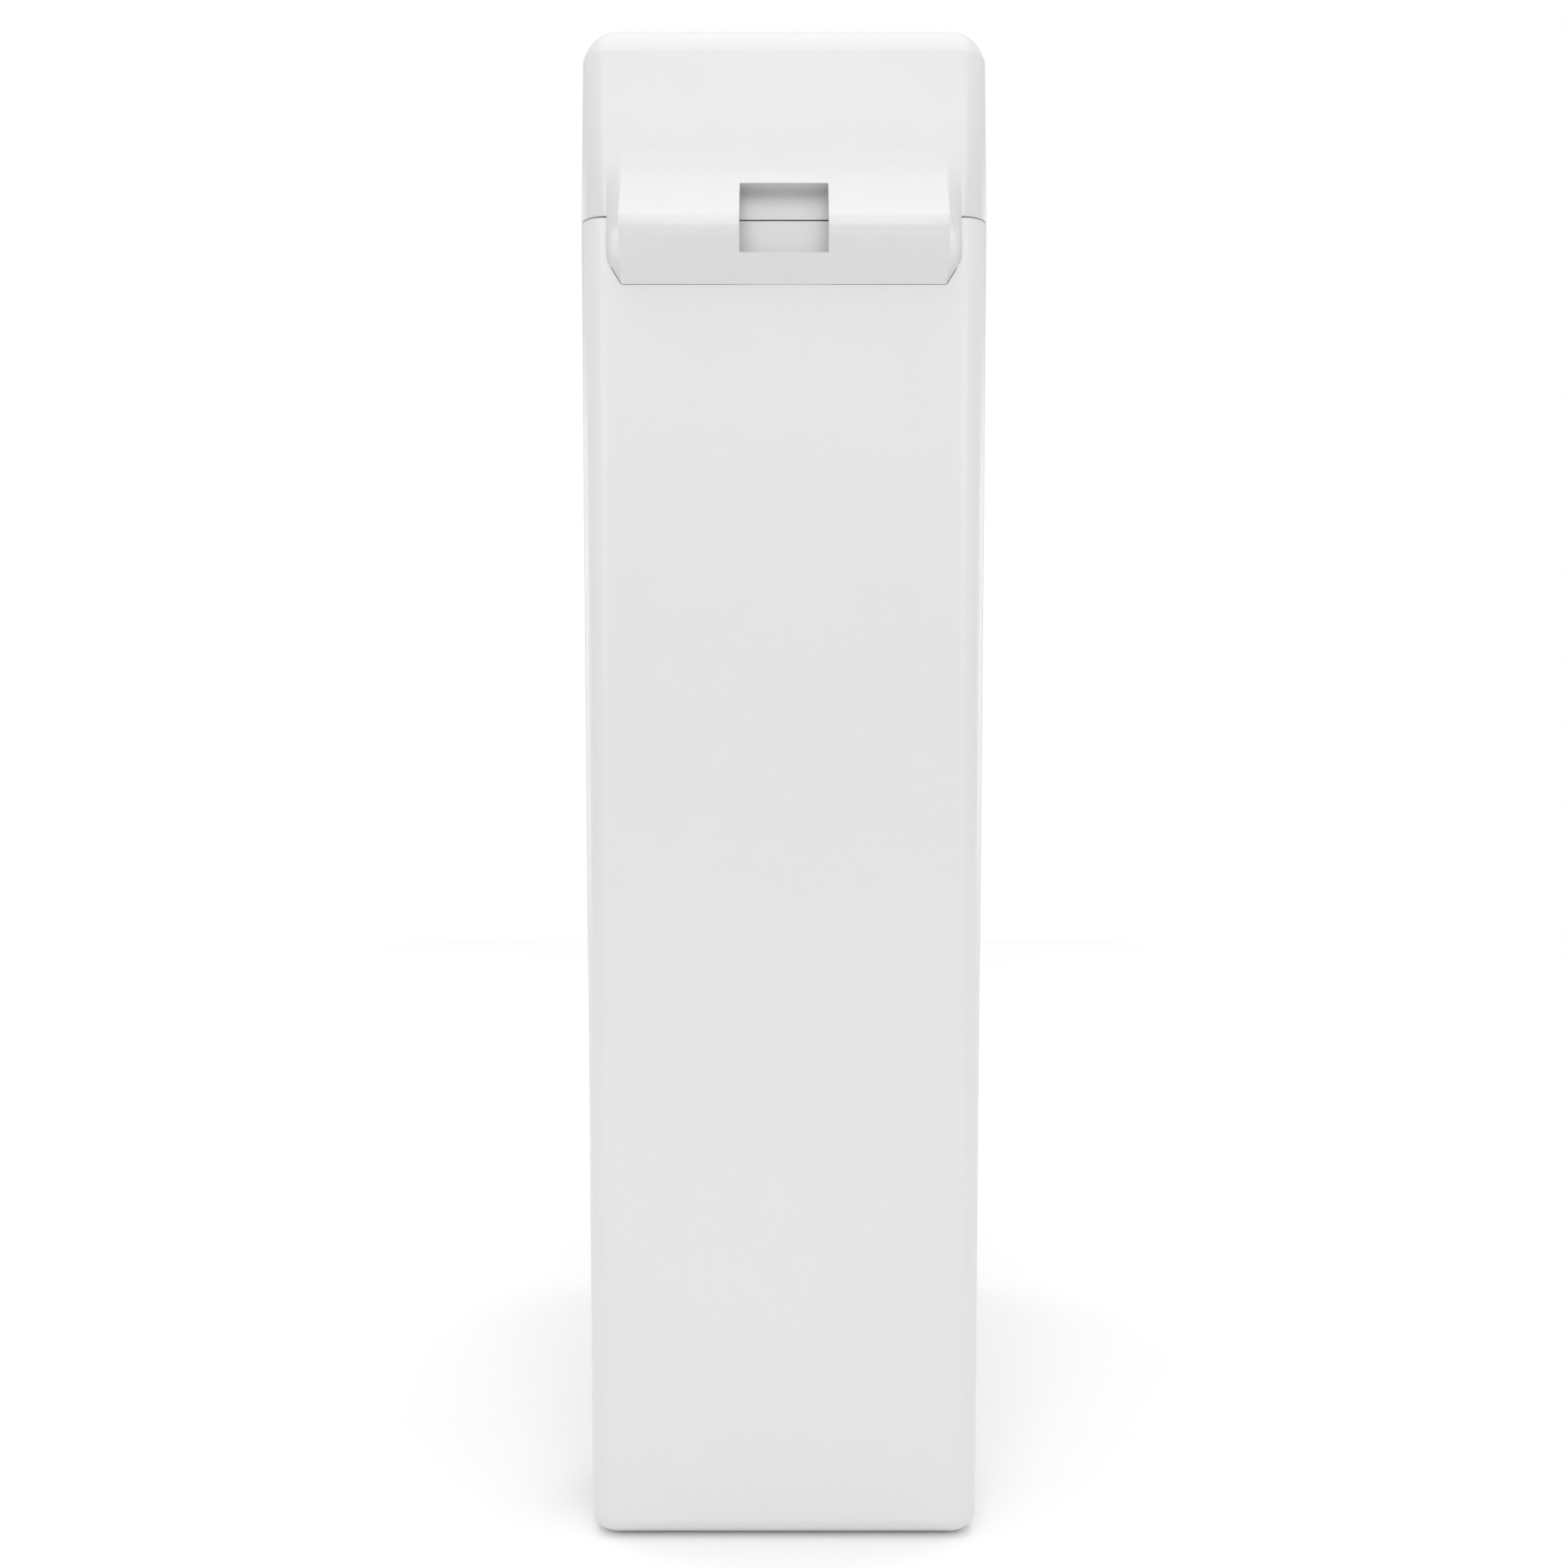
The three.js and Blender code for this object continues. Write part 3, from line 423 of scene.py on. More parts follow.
def cover_solid():
    """The outside of the cover with its slanting ends, its back plane just inside the lid wall."""
    base = -0.3 * MM  # the ends start this far from the wall, inside it
    back_y = RECESS_Y + 1 * MM
    rings = []
    for y, z in cover_profile():
        reach = min(1.0, max(0.0, (z - COVER_TIP[1]) / (WINDOW_Z[0] - COVER_TIP[1])))
        base_x = COVER_FACE_X + (COVER_BASE_X - COVER_FACE_X) * reach + 0.05 * MM
        half = [(base_x, 0.0), (COVER_FACE_X + (base_x - COVER_FACE_X) * 0.12, 0.87), (COVER_FACE_X - 0.1 * MM, 0.985),
                (COVER_FACE_X - 0.9 * MM, 1.0), (COVER_FACE_X * 0.5, 1.0)]
        stations = [(-x, t) for x, t in half] + [(0.0, 1.0)] + half[::-1]
        rise = y - REAR_Y
        ring = [(x, REAR_Y + base + (rise - base) * t, z) for x, t in stations]
        rings.append(ring + [(stations[-1][0], back_y, z), (stations[0][0], back_y, z)])
    return loft("cover", rings, 30)


def cover_hollow():
    wall = 2 * MM
    half = COVER_FACE_X - wall
    points = []
    for degrees in range(-60, 76, 9):
        angle = math.radians(degrees)
        z = COVER_ARC[1] + (COVER_ARC_R - wall) * math.sin(angle)
        if z <= WINDOW_Z[1]:
            points.append((COVER_ARC[0] + (COVER_ARC_R - wall) * math.cos(angle), z))
    points += [(RECESS_Y, COVER_TIP[1] - 0.6 * MM), (RECESS_Y, WINDOW_Z[1]), (COVER_ARC[0] - 3.6 * MM, WINDOW_Z[1])]
    return hull([(x, y, z) for y, z in points for x in (-half, half)])


def hinge_cover():
    """The cover with its ribs, its window and the bores for the hinge pins."""
    below = LID_Z - 0.05
    cover = cover_solid()
    boolean(cover, box((-0.1, 0.17, below), (0.1, FOOT_Y, LID_Z)))
    ribs = []
    for side in (-1, 1):
        for near, far in ((WINDOW_X + 0.2 * MM, 24 * MM), (46 * MM, 50 * MM)):
            rib = cover_solid()
            x_low, x_high = sorted((side * near, side * far))
            boolean(rib, box((x_low, FOOT_Y, below), (x_high, 0.21, WINDOW_Z[1] + 1 * MM)), "INTERSECT")
            ribs.append(rib)
    boolean(cover, cover_hollow())
    window = round_box((-WINDOW_X, FOOT_Y - 5 * MM, WINDOW_Z[0]), (WINDOW_X, 0.215, WINDOW_Z[1]), 0.4 * MM)
    boolean(cover, window)
    for rib in ribs:
        boolean(cover, rib, "UNION")
    bore_r = 1.8 * MM
    for side in (-1, 1):
        start, end = sorted((side * (WINDOW_X + 0.7 * MM), side * (COVER_FACE_X - 1 * MM)))
        bore = turned("bore", [(start, bore_r), (end, bore_r)], (0, HINGE_Y, HINGE_Z), X_AXIS, 24)
        boolean(cover, bore)
    return cover


def lid_body():
    inside = [lid_section(TOP_Z - WALL, WALL + 8 * MM, REAR_EXTRA), lid_section(TOP_Z - 14 * MM, WALL, REAR_EXTRA),
              lid_section(LID_Z + EDGE, WALL, REAR_EXTRA)]
    rim_in = lid_section(LID_Z, WALL - EDGE, REAR_EXTRA, radius=CORNER_R - WALL)
    rim_out = [lid_section(LID_Z, EDGE), lid_section(LID_Z + EDGE_START, EDGE_START), lid_section(LID_Z + EDGE)]
    outside = quarter(lid_section, TOP_Z, TOP_EDGE_IN, 1, 16, TOP_CORNER_R, TOP_EDGE_DOWN, TOP_EDGE_CREASE)
    piece = loft("lid_casing", inside + [rim_in] + rim_out + outside)
    under = LID_Z - 5 * MM
    boolean(piece, box((-RECESS_X, RECESS_Y, under), (RECESS_X, CUT_Y, WINDOW_Z[1])))
    boolean(piece, box((-NICHE_X, NICHE_Y, under), (NICHE_X, CUT_Y, WINDOW_Z[1])))
    block = box((-46 * MM, -197.5 * MM, LID_Z), (46 * MM, -190.5 * MM, LID_Z + 21 * MM))
    boolean(piece, block, "UNION")
    grip = round_box((-38 * MM, -0.205, LID_Z - 6 * MM), (38 * MM, -195 * MM, LID_Z + 13.5 * MM), 2.5 * MM, segments=5)
    boolean(piece, grip)
    for node in ("start_button", "stop_button", "status_lens"):
        low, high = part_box(node)
        radius = (2.5 if node == "status_lens" else 7) * MM + 0.3 * MM
        centre = ((low[0] + high[0]) / 2, -0.205, (low[2] + high[2]) / 2)
        profile = [(0, radius + 0.5 * MM), (5.5 * MM, radius + 0.5 * MM), (6.0 * MM, radius), (15 * MM, radius)]
        boolean(piece, turned("hole", profile, centre, Y_AXIS, 48))
    boolean(piece, hinge_cover(), "UNION")
    smooth(piece, 32)
    return piece


def place(piece, body, slot, look, *nodes):
    """Finish, body and replaced nodes of one piece."""
    piece.data.materials.clear()
    piece.data.materials.append(look)
    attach(piece, body)
    if nodes:
        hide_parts(*nodes)
    return piece


place(housing_body(), "cabinet", "white_shell", white, "housing")
place(lid_body(), "lid", "white_shell", white, "lid_shell")


# ---- drawer ----
def section_between(z, inset):
    return body_section(z, inset, radius=CORNER_R - inset * 0.8)


def drawer_front():
    low, high = DRAWER_LOW[2], DRAWER_HIGH[2]
    back_y = DRAWER_HIGH[1]
    outside = [body_section(z, inset) for z, inset in
               ((low, EDGE), (low + EDGE_START, EDGE_START), (low + EDGE, 0), (high - EDGE, 0),
                (high - EDGE_START, EDGE_START), (high, EDGE))]
    piece = loft("drawer_front", outside)
    boolean(piece, box((-0.1, -0.21, low - 0.01), (0.1, back_y, high + 0.01)), "INTERSECT")
    hollow = loft("hollow", [section_between(low + 4 * MM, WALL), section_between(high - 54 * MM, WALL)])
    boolean(hollow, box((-0.1, -0.21, low), (0.1, back_y + 0.01, high)), "INTERSECT")
    boolean(piece, hollow)
    grip_x, grip_low, grip_high = 45 * MM, high - 46 * MM + 0.7 * MM, high - 20 * MM + 0.7 * MM
    cup = round_box((-grip_x, -0.215, grip_low), (grip_x, -190.5 * MM, grip_high), 4 * MM, segments=6)
    boolean(piece, cup)
    undercut = round_box((-grip_x + 1 * MM, -196 * MM, grip_high - 12 * MM),
                         (grip_x - 1 * MM, -190.5 * MM, high - 6.3 * MM), 2 * MM, segments=4)
    boolean(piece, undercut)
    smooth(piece, 32)
    return piece


def bin_section(z, inset=0.0, radius=8 * MM):
    low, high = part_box("bin")
    part = (z - low[2]) / (high[2] - low[2])
    half = high[0] - 4.5 * MM * (1 - part) - inset
    return round_ring(half, low[1] + inset, high[1] - inset, max(radius - inset, MIN_CORNER_R), z)


def bin_tub():
    low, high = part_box("bin")
    wall = 2 * MM
    bottom, top = low[2], high[2]
    inner = [bin_section(bottom + wall + 1 * MM, wall + 6 * MM), bin_section(bottom + wall + 3 * MM, wall + 1.5 * MM),
             bin_section(bottom + wall + 8 * MM, wall), bin_section(top - EDGE, wall)]
    rim = [bin_section(top, wall - EDGE, 7 * MM), bin_section(top, EDGE), bin_section(top - EDGE)]
    outer = [bin_section(bottom + 8 * MM), bin_section(bottom + 3 * MM, 1.2 * MM), bin_section(bottom, 5 * MM)]
    piece = loft("bin_tub", inner + rim + outer)
    boolean(piece, box((-0.1, high[1] - 8 * MM, 0.35), (0.1, 0.2, 0.7)))
    bevel(piece, 0.4 * MM, 2, 60)
    for z in (0.14, 0.23, 0.32):
        groove = loft("groove", [bin_section(z - 1.6 * MM, -1 * MM), bin_section(z + 1.6 * MM, -1 * MM)])
        core = loft("core", [bin_section(z - 3 * MM, 0.5 * MM), bin_section(z + 3 * MM, 0.5 * MM)])
        boolean(groove, core)
        boolean(piece, groove)
    smooth(piece, 32)
    return piece


place(drawer_front(), "drawer", "white_shell", white, "drawer_panel")
place(bin_tub(), "drawer", "bin_plastic", bin_grey, "bin")


# ---- fasteners ----
def screw(name, centre, axis, radius, body, depth=None):
    """A pan-head screw with a cross recess, its flat side on the surface at centre, facing along axis."""
    height = depth or radius * 0.55
    profile = [(0.0, radius), (height * 0.45, radius), (height * 0.8, radius * 0.82), (height, radius * 0.5),
               (height, radius * 0.02)]
    head = turned(name, profile, (0, 0, 0), Z_AXIS, 28)
    for turn in (0, math.pi / 2):
        slot = box((-radius * 0.5, -radius * 0.11, height * 0.35), (radius * 0.5, radius * 0.11, height * 2))
        slot.data.transform(Matrix.Rotation(turn, 4, "Z"))
        boolean(head, slot)
    spin = Vector(axis).to_track_quat("Z", "Y").to_matrix().to_4x4()
    head.data.transform(Matrix.Translation(Vector(centre)) @ spin)
    smooth(head)
    place(head, body, "bright_steel", steel)
    return head


# ---- pieces kept in their CAD shape, with rounded edges ----
REFINED = (
    ("cabinet", "dark_steel", coated, 0.4, ("base_frame",)),
    ("drawer", "dark_steel", coated, 0.4, ("drawer_frame",)),
    ("lid", "dark_steel", coated, 0.4, ("press_frame", "screw_bearing_front", "screw_bearing_rear")),
    ("ram_head", "dark_steel", coated, 0.4, ("ram",)),
    ("cabinet", "bright_steel", steel, 0.25, ("hinge_bracket_left", "hinge_bracket_right", "slide_fixed_left",
                                              "slide_fixed_right")),
    ("slide_middles", "bright_steel", steel, 0.25, ("slide_middle_left", "slide_middle_right")),
    ("drawer", "bright_steel", steel, 0.25, ("slide_inner_left", "slide_inner_right")),
    ("arm_a", "bright_steel", steel, 0.5, ("press_arm_a_left", "press_arm_a_right")),
    ("arm_b", "bright_steel", steel, 0.5, ("press_arm_b_left", "press_arm_b_right")),
    ("lid", "bright_steel", steel, 0.25, ("strike_plate",)),
    ("bolt", "bright_steel", steel, 0.5, ("lock_bolt",)),
    ("nut", "brass", brass, 0.5, ("drive_nut",)),
    ("cabinet", "black_plastic", black, 0.4, ("lock_body", "power_inlet", "body_contacts")),
    ("lid", "black_plastic", black, 0.4, ("lid_contacts",)),
    ("cabinet", "rubber", rubber, 0.6, ("rim_gasket",)),
)


def refined_pieces():
    for body, slot, look, width, nodes in REFINED:
        for node in nodes:
            place(refine(node, width * MM), body, slot, look, node)


refined_pieces()


def rod_piece(node, body, look, slot, chamfer=0.5 * MM, groove=0.0, sides=32):
    """A shaft along X or Y with chamfered ends and, if asked, a ring groove near each end."""
    low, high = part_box(node)
    size = [high[k] - low[k] for k in range(3)]
    along = 0 if size[0] > size[1] else 1
    radius = size[2] / 2
    middle = [(low[k] + high[k]) / 2 for k in range(3)]
    half = size[along] / 2
    profile = [(-half, radius - chamfer), (-half + chamfer, radius)]
    if groove:
        for start in (-half + groove, half - groove - 0.7 * MM):
            profile += [(start, radius), (start, radius - 0.4 * MM), (start + 0.7 * MM, radius - 0.4 * MM),
                        (start + 0.7 * MM, radius)]
    profile += [(half - chamfer, radius), (half, radius - chamfer)]
    axis = X_AXIS if along == 0 else Y_AXIS
    return place(turned(node + "_fine", profile, middle, axis, sides), body, slot, look, node)


for shaft_node, shaft_body in (("frame_pivot_shaft", "lid"), ("ram_pivot_shaft", "ram_head"),
                               ("ram_slider_shaft", "arm_a"), ("scissor_centre_shaft", "arm_a")):
    rod_piece(shaft_node, shaft_body, turned_steel, "bright_steel", groove=1.0 * MM)
for side_name in ("left", "right"):
    rod_piece("hinge_pin_" + side_name, "cabinet", turned_steel, "bright_steel", 0.3 * MM)


def threaded_screw():
    """The lead screw: a trapezoidal thread between its plain bearing ends."""
    low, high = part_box("lead_screw")
    radius, pitch, sides, per_turn = (high[2] - low[2]) / 2, 3 * MM, 24, 8
    centre_z = (high[2] + low[2]) / 2
    plain = 9 * MM
    rows = int((high[1] - low[1]) / (pitch / per_turn))
    rings = []
    for i in range(rows + 1):
        y = low[1] + (high[1] - low[1]) * i / rows
        threaded = low[1] + plain < y < -1 * MM
        ring = []
        for k in range(sides):
            angle = math.tau * k / sides
            phase = (y / pitch + k / sides) % 1.0
            depth = min(1.0, max(0.0, abs(phase - 0.5) * 5 - 0.9)) * 0.8 * MM if threaded else 0.0
            r = radius - 0.02 * MM - depth
            ring.append((r * math.cos(angle), y, centre_z + r * math.sin(angle)))
        rings.append(ring)
    return loft("threaded_screw", rings, 40)


place(threaded_screw(), "screw", "bright_steel", turned_steel, "lead_screw")


def extruded_y(name, outline, y_low, y_high, hole=None, sharp=30):
    """An [x, z] outline made thick along Y; hole is an inner outline with the same number of points."""
    bm = bmesh.new()
    rings = [[bm.verts.new((x, y, z)) for x, z in outline] for y in (y_low, y_high)]
    count = len(outline)
    loops = [(rings[0], rings[1])]
    if hole:
        inner = [[bm.verts.new((x, y, z)) for x, z in hole] for y in (y_low, y_high)]
        loops.append((inner[1], inner[0]))
        for ring, core in zip(rings, inner):
            for i in range(count):
                j = (i + 1) % count
                bm.faces.new((ring[i], ring[j], core[j], core[i]))
    else:
        bm.faces.new(rings[0])
        bm.faces.new(rings[1][::-1])
    for a, b in loops:
        for i in range(count):
            j = (i + 1) % count
            bm.faces.new((a[i], b[i], b[j], a[j]))
    return finish_mesh(name, bm, sharp)


def toothed_circle(cx, cz, radius, depth, teeth):
    outline = []
    for i in range(teeth * 4):
        angle = math.tau * i / (teeth * 4)
        r = radius if i % 4 in (0, 1) else radius - depth
        outline.append((cx + r * math.cos(angle), cz + r * math.sin(angle)))
    return outline


def pulley(node, body, teeth):
    """A toothed belt pulley with a flange at each side and a hub."""
    low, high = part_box(node)
    if node == "motor_pulley":
        high = Vector((high[0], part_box("screw_pulley")[1][1], high[2]))
    cx, cz = (low[0] + high[0]) / 2, (low[2] + high[2]) / 2
    radius = (high[2] - low[2]) / 2
    flange = 1.1 * MM
    wheel = extruded_y(node + "_fine", toothed_circle(cx, cz, radius, 0.9 * MM, teeth), low[1], high[1])
    for y_low in (low[1], high[1] - flange):
        rim = turned("flange", [(0, radius - 0.3 * MM), (0.3 * MM, radius), (flange - 0.3 * MM, radius),
                                (flange, radius - 0.3 * MM)], (cx, y_low, cz), Y_AXIS, 48)
        boolean(wheel, rim, "UNION")
    if node == "screw_pulley":
        boolean(wheel, turned("bore", [(-0.01, 4.2 * MM), (0.04, 4.2 * MM)], (cx, low[1], cz), Y_AXIS, 40))
        for i in range(5):
            angle = math.tau * i / 5
            spot = (cx + 8.4 * MM * math.cos(angle), low[1] - 1 * MM, cz + 8.4 * MM * math.sin(angle))
            boolean(wheel, turned("hole", [(0, 2 * MM), (0.02, 2 * MM)], spot, Y_AXIS, 20))
    else:
        shaft_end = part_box(node)[1][1]
        boolean(wheel, turned("shaft", [(0, 3 * MM), (shaft_end - low[1] - 1 * MM, 3 * MM)],
                              (cx, low[1] + 1 * MM, cz), Y_AXIS, 32), "UNION")
    smooth(wheel, 30)
    return place(wheel, body, "grey_plastic", mid_grey, node)


pulley("screw_pulley", "screw", 32)
pulley("motor_pulley", "motor_rotor", 16)


# ---- motor and belt ----
def motor_piece():
    low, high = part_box("motor")
    radius = 18.5 * MM
    cx, cz = low[0] + radius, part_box("motor_pulley")[0][2] + 6.5 * MM
    front, rear = low[1] + 5 * MM, high[1] - 6 * MM
    profile = [(front, radius - 1 * MM), (front + 1 * MM, radius)]
    y = front + 8 * MM
    while y < rear - 12 * MM:
        profile += [(y, radius), (y + 0.4 * MM, radius - 0.9 * MM), (y + 1.6 * MM, radius - 0.9 * MM),
                    (y + 2.0 * MM, radius)]
        y += 5 * MM
    profile += [(rear - 2.5 * MM, radius), (rear - 1 * MM, radius - 0.6 * MM), (rear, radius - 2.5 * MM),
                (rear, 7.2 * MM), (rear + 0.3 * MM, 6.9 * MM), (high[1] - 0.6 * MM, 6.9 * MM), (high[1], 6.2 * MM)]
    piece = turned("motor_fine", profile, (cx, 0, cz), Y_AXIS, 56)
    gearbox = round_box((cx - 17 * MM, low[1], cz - 16 * MM), (cx + 17 * MM, low[1] + 5 * MM, cz + 16 * MM), 1.2 * MM)
    boolean(piece, gearbox, "UNION")
    saddle = round_box((cx - 12 * MM, low[1] + 19 * MM, cz), (cx + 12 * MM, high[1] - 18 * MM, high[2]), 0.6 * MM)
    boolean(piece, saddle, "UNION")
    boolean(piece, turned("bore", [(-0.001, 3.3 * MM), (3 * MM, 3.3 * MM)], (cx, low[1], cz), Y_AXIS, 32))
    for i in range(6):
        angle = math.tau * (i + 0.5) / 6
        spot = (cx + 12.5 * MM * math.cos(angle), rear - 1.5 * MM, cz + 12.5 * MM * math.sin(angle))
        boolean(piece, turned("vent", [(0, 2.2 * MM), (0.01, 2.2 * MM)], spot, Y_AXIS, 20))
    smooth(piece, 32)
    return piece


place(motor_piece(), "lid", "dark_steel", coated, "motor")


def belt_outline(offset, ribs=0.0):
    """The belt's [x, z] outline round both pulleys; ribs is the height of its inner teeth."""
    big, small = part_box("screw_pulley"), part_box("motor_pulley")
    centres, radii = [], []
    for low, high in (big, small):
        centres.append(((low[0] + high[0]) / 2, (low[2] + high[2]) / 2))
        radii.append((high[2] - low[2]) / 2)
    dx, dz = centres[1][0] - centres[0][0], centres[1][1] - centres[0][1]
    lean = math.acos((radii[0] - radii[1]) / math.hypot(dx, dz))
    line = math.atan2(dz, dx)
    path = []
    for index, start, end in ((1, line - lean, line + lean), (0, line + lean, line - lean + math.tau)):
        for i in range(41):
            angle = start + (end - start) * i / 40
            path.append((centres[index], radii[index], angle))
    points = []
    for k, (centre, radius, angle) in enumerate(path):
        r = radius + offset - (ribs if k % 2 else 0.0)
        points.append((centre[0] + r * math.cos(angle), centre[1] + r * math.sin(angle)))
    return points


belt_low, belt_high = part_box("drive_belt")
belt_outer, belt_inner = belt_outline(1.75 * MM), belt_outline(0.45 * MM, 0.2 * MM)
place(extruded_y("drive_belt_fine", belt_outer, belt_low[1], belt_high[1], belt_inner),
      "lid", "rubber", rubber, "drive_belt")


# ---- ram face and feet ----
def ram_face_piece():
    """The ram's wear plate: a pan with a rounded rim and raised cross ribs."""
    low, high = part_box("ram_face")
    piece = round_box(low, high, 0.8 * MM, "ram_face_fine")
    count = 7
    for i in range(count):
        y = low[1] + (high[1] - low[1]) * (i + 0.5) / count
        pocket = round_box((low[0] + 8 * MM, y - 17 * MM, low[2] - 2 * MM),
                           (high[0] - 8 * MM, y + 17 * MM, low[2] + 1.1 * MM), 1.0 * MM)
        boolean(piece, pocket)
    smooth(piece, 30)
    return piece


place(ram_face_piece(), "ram_head", "bright_steel", steel, "ram_face")

for corner in ("front_left", "front_right", "rear_left", "rear_right"):
    pad_low, pad_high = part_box("foot_pad_" + corner)
    pad_r = (pad_high[0] - pad_low[0]) / 2
    pad_mid = ((pad_low[0] + pad_high[0]) / 2, (pad_low[1] + pad_high[1]) / 2, 0)
    pad_profile = [(0, pad_r - 3.2 * MM), (0, pad_r - 0.4 * MM), (0.25 * MM, pad_r), (pad_high[2] - 0.1 * MM, pad_r),
                   (pad_high[2], pad_r - 0.1 * MM)]
    place(turned("pad_" + corner, pad_profile, pad_mid, Z_AXIS, 48), "cabinet", "rubber", rubber,
          "foot_pad_" + corner)


# ---- controls ----
def key_piece(node):
    """A round key: dished cap with a soft edge, and its flange and stem behind the wall."""
    low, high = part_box(node)
    cx, cz = (low[0] + high[0]) / 2, (low[2] + high[2]) / 2
    cap_r, flange_r = 7 * MM, 8.5 * MM
    front = low[1]
    profile = [(front + 0.55 * MM, 0.02 * MM), (front + 0.5 * MM, 2 * MM), (front + 0.3 * MM, 4 * MM),
               (front + 0.05 * MM, 5.6 * MM), (front, 6.1 * MM), (front + 0.12 * MM, 6.6 * MM),
               (front + 0.5 * MM, cap_r), (front + 3.3 * MM, cap_r), (front + 3.3 * MM, flange_r),
               (front + 4.5 * MM, flange_r), (front + 4.5 * MM, 2 * MM), (high[1] - 0.3 * MM, 2 * MM),
               (high[1], 1.7 * MM)]
    return turned(node + "_fine", profile, (cx, 0, cz), Y_AXIS, 64)


def key_marks():
    """Plain symbols on the keys: a downward triangle for start and a square for stop."""
    marks = (("start_button", "start_key", 3, math.radians(-90)), ("stop_button", "stop_key", 4, math.radians(45)))
    for node, body, corners, turn in marks:
        low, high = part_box(node)
        cx, cz = (low[0] + high[0]) / 2, (low[2] + high[2]) / 2
        outline = []
        for i in range(corners):
            angle = turn + math.tau * i / corners
            outline.append((cx + 2.3 * MM * math.cos(angle), cz + 2.3 * MM * math.sin(angle)))
        mark = extruded_y(node + "_mark", outline, low[1] + 0.3 * MM, low[1] + 1.2 * MM)
        place(mark, body, "black_plastic", black)


place(key_piece("start_button"), "start_key", "button_grey", key_grey, "start_button")
place(key_piece("stop_button"), "stop_key", "button_grey", key_grey, "stop_button")
key_marks()


def lens_piece():
    low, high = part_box("status_lens")
    r = (high[2] - low[2]) / 2
    centre = ((low[0] + high[0]) / 2, 0, (low[2] + high[2]) / 2)
    profile = [(low[1], 0.02 * MM), (low[1] + 0.15 * MM, r * 0.5), (low[1] + 0.5 * MM, r * 0.85),
               (low[1] + 1.0 * MM, r), (high[1], r)]
    return turned("status_lens_fine", profile, centre, Y_AXIS, 40, 60)


def lens_look():
    made, shader, tree = material("lens_plastic", (0.35, 0.75, 0.45), 0.12)
    shader.inputs["Transmission Weight"].default_value = 0.35
    shader.inputs["IOR"].default_value = 1.49
    tree.links.new(ramp(tree, noise(tree, 300.0), (0.3, 0.7, 0.42), (0.36, 0.78, 0.48)), shader.inputs["Base Color"])
    return made


place(lens_piece(), "lid", "indicator_lens", lens_look(), "status_lens")


def board_look():
    """Green solder mask with faint copper tracks under it."""
    made, shader, tree = material("solder_mask", (0.02, 0.13, 0.06), 0.35)
    tracks = tree.nodes.new("ShaderNodeTexBrick")
    tracks.inputs["Scale"].default_value = 160.0
    tracks.inputs["Mortar Size"].default_value = 0.05
    tracks.inputs["Color1"].default_value = (0.018, 0.12, 0.055, 1.0)
    tracks.inputs["Color2"].default_value = (0.022, 0.14, 0.065, 1.0)
    tracks.inputs["Mortar"].default_value = (0.05, 0.24, 0.11, 1.0)
    place_node = tree.nodes.new("ShaderNodeTexCoord")
    turn = tree.nodes.new("ShaderNodeMapping")
    turn.inputs["Rotation"].default_value = (math.pi / 2, 0, 0)
    tree.links.new(place_node.outputs["Object"], turn.inputs["Vector"])
    tree.links.new(turn.outputs["Vector"], tracks.inputs["Vector"])
    tree.links.new(tracks.outputs["Color"], shader.inputs["Base Color"])
    return made


place(refine("control_board", 0.15 * MM), "lid", "circuit_board", board_look(), "control_board")


def board_parts():
    """Chips, capacitors and a connector on the rear of the control board."""
    low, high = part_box("control_board")
    back = high[1]
    chips = ((-20, 14, 12, 12, 1.6), (8, 8, 9, 7, 1.5), (24, 30, 8, 14, 1.8), (-8, 34, 6, 5, 1.4))
    for i, (x, z, w, h, t) in enumerate(chips):
        centre_x, centre_z = x * MM, low[2] + z * MM
        chip = round_box((centre_x - w / 2 * MM, back, centre_z - h / 2 * MM),
                         (centre_x + w / 2 * MM, back + t * MM, centre_z + h / 2 * MM), 0.25 * MM, f"chip_{i}", 2)
        place(chip, "lid", "black_plastic", black)
        for side in (-1, 1):
            legs = box((centre_x + side * (w / 2 + 0.5) * MM - 0.5 * MM, back, centre_z - h / 2 * MM + 0.6 * MM),
                       (centre_x + side * (w / 2 + 0.5) * MM + 0.5 * MM, back + 0.4 * MM,
                        centre_z + h / 2 * MM - 0.6 * MM), f"chip_{i}_legs_{'a' if side < 0 else 'b'}")
            bevel(legs, 0.1 * MM, 1)
            place(legs, "lid", "bright_steel", steel)
    for i, (x, z) in enumerate(((-34, 34), (-34, 22), (36, 10))):
        cap = turned(f"capacitor_{i}", [(0, 3 * MM), (0.5 * MM, 3 * MM), (0.8 * MM, 2.8 * MM), (1.1 * MM, 3 * MM),
                                        (3.0 * MM, 3 * MM), (3.3 * MM, 2.7 * MM)],
                     (x * MM, back, low[2] + z * MM), Y_AXIS, 28)
        place(cap, "lid", "bright_steel", steel)
    plug = round_box((37 * MM, back, low[2] + 14 * MM), (41 * MM, back + 3 * MM, low[2] + 24 * MM), 0.4 * MM,
                     "board_connector", 2)
    place(plug, "lid", "black_plastic", black)


board_parts()


# ---- power and leads ----
def supply_piece():
    low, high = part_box("power_supply")
    piece = round_box(low, high, 1.5 * MM, "power_supply_fine")
    for i in range(12):
        y = low[1] + 18 * MM + i * 6.5 * MM
        slot = round_box((-30 * MM, y, high[2] - 1.2 * MM), (30 * MM, y + 2.6 * MM, high[2] + 2 * MM), 0.5 * MM,
                         segments=2)
        boolean(piece, slot)
    smooth(piece)
    return piece


place(supply_piece(), "cabinet", "grey_plastic", mid_grey, "power_supply")


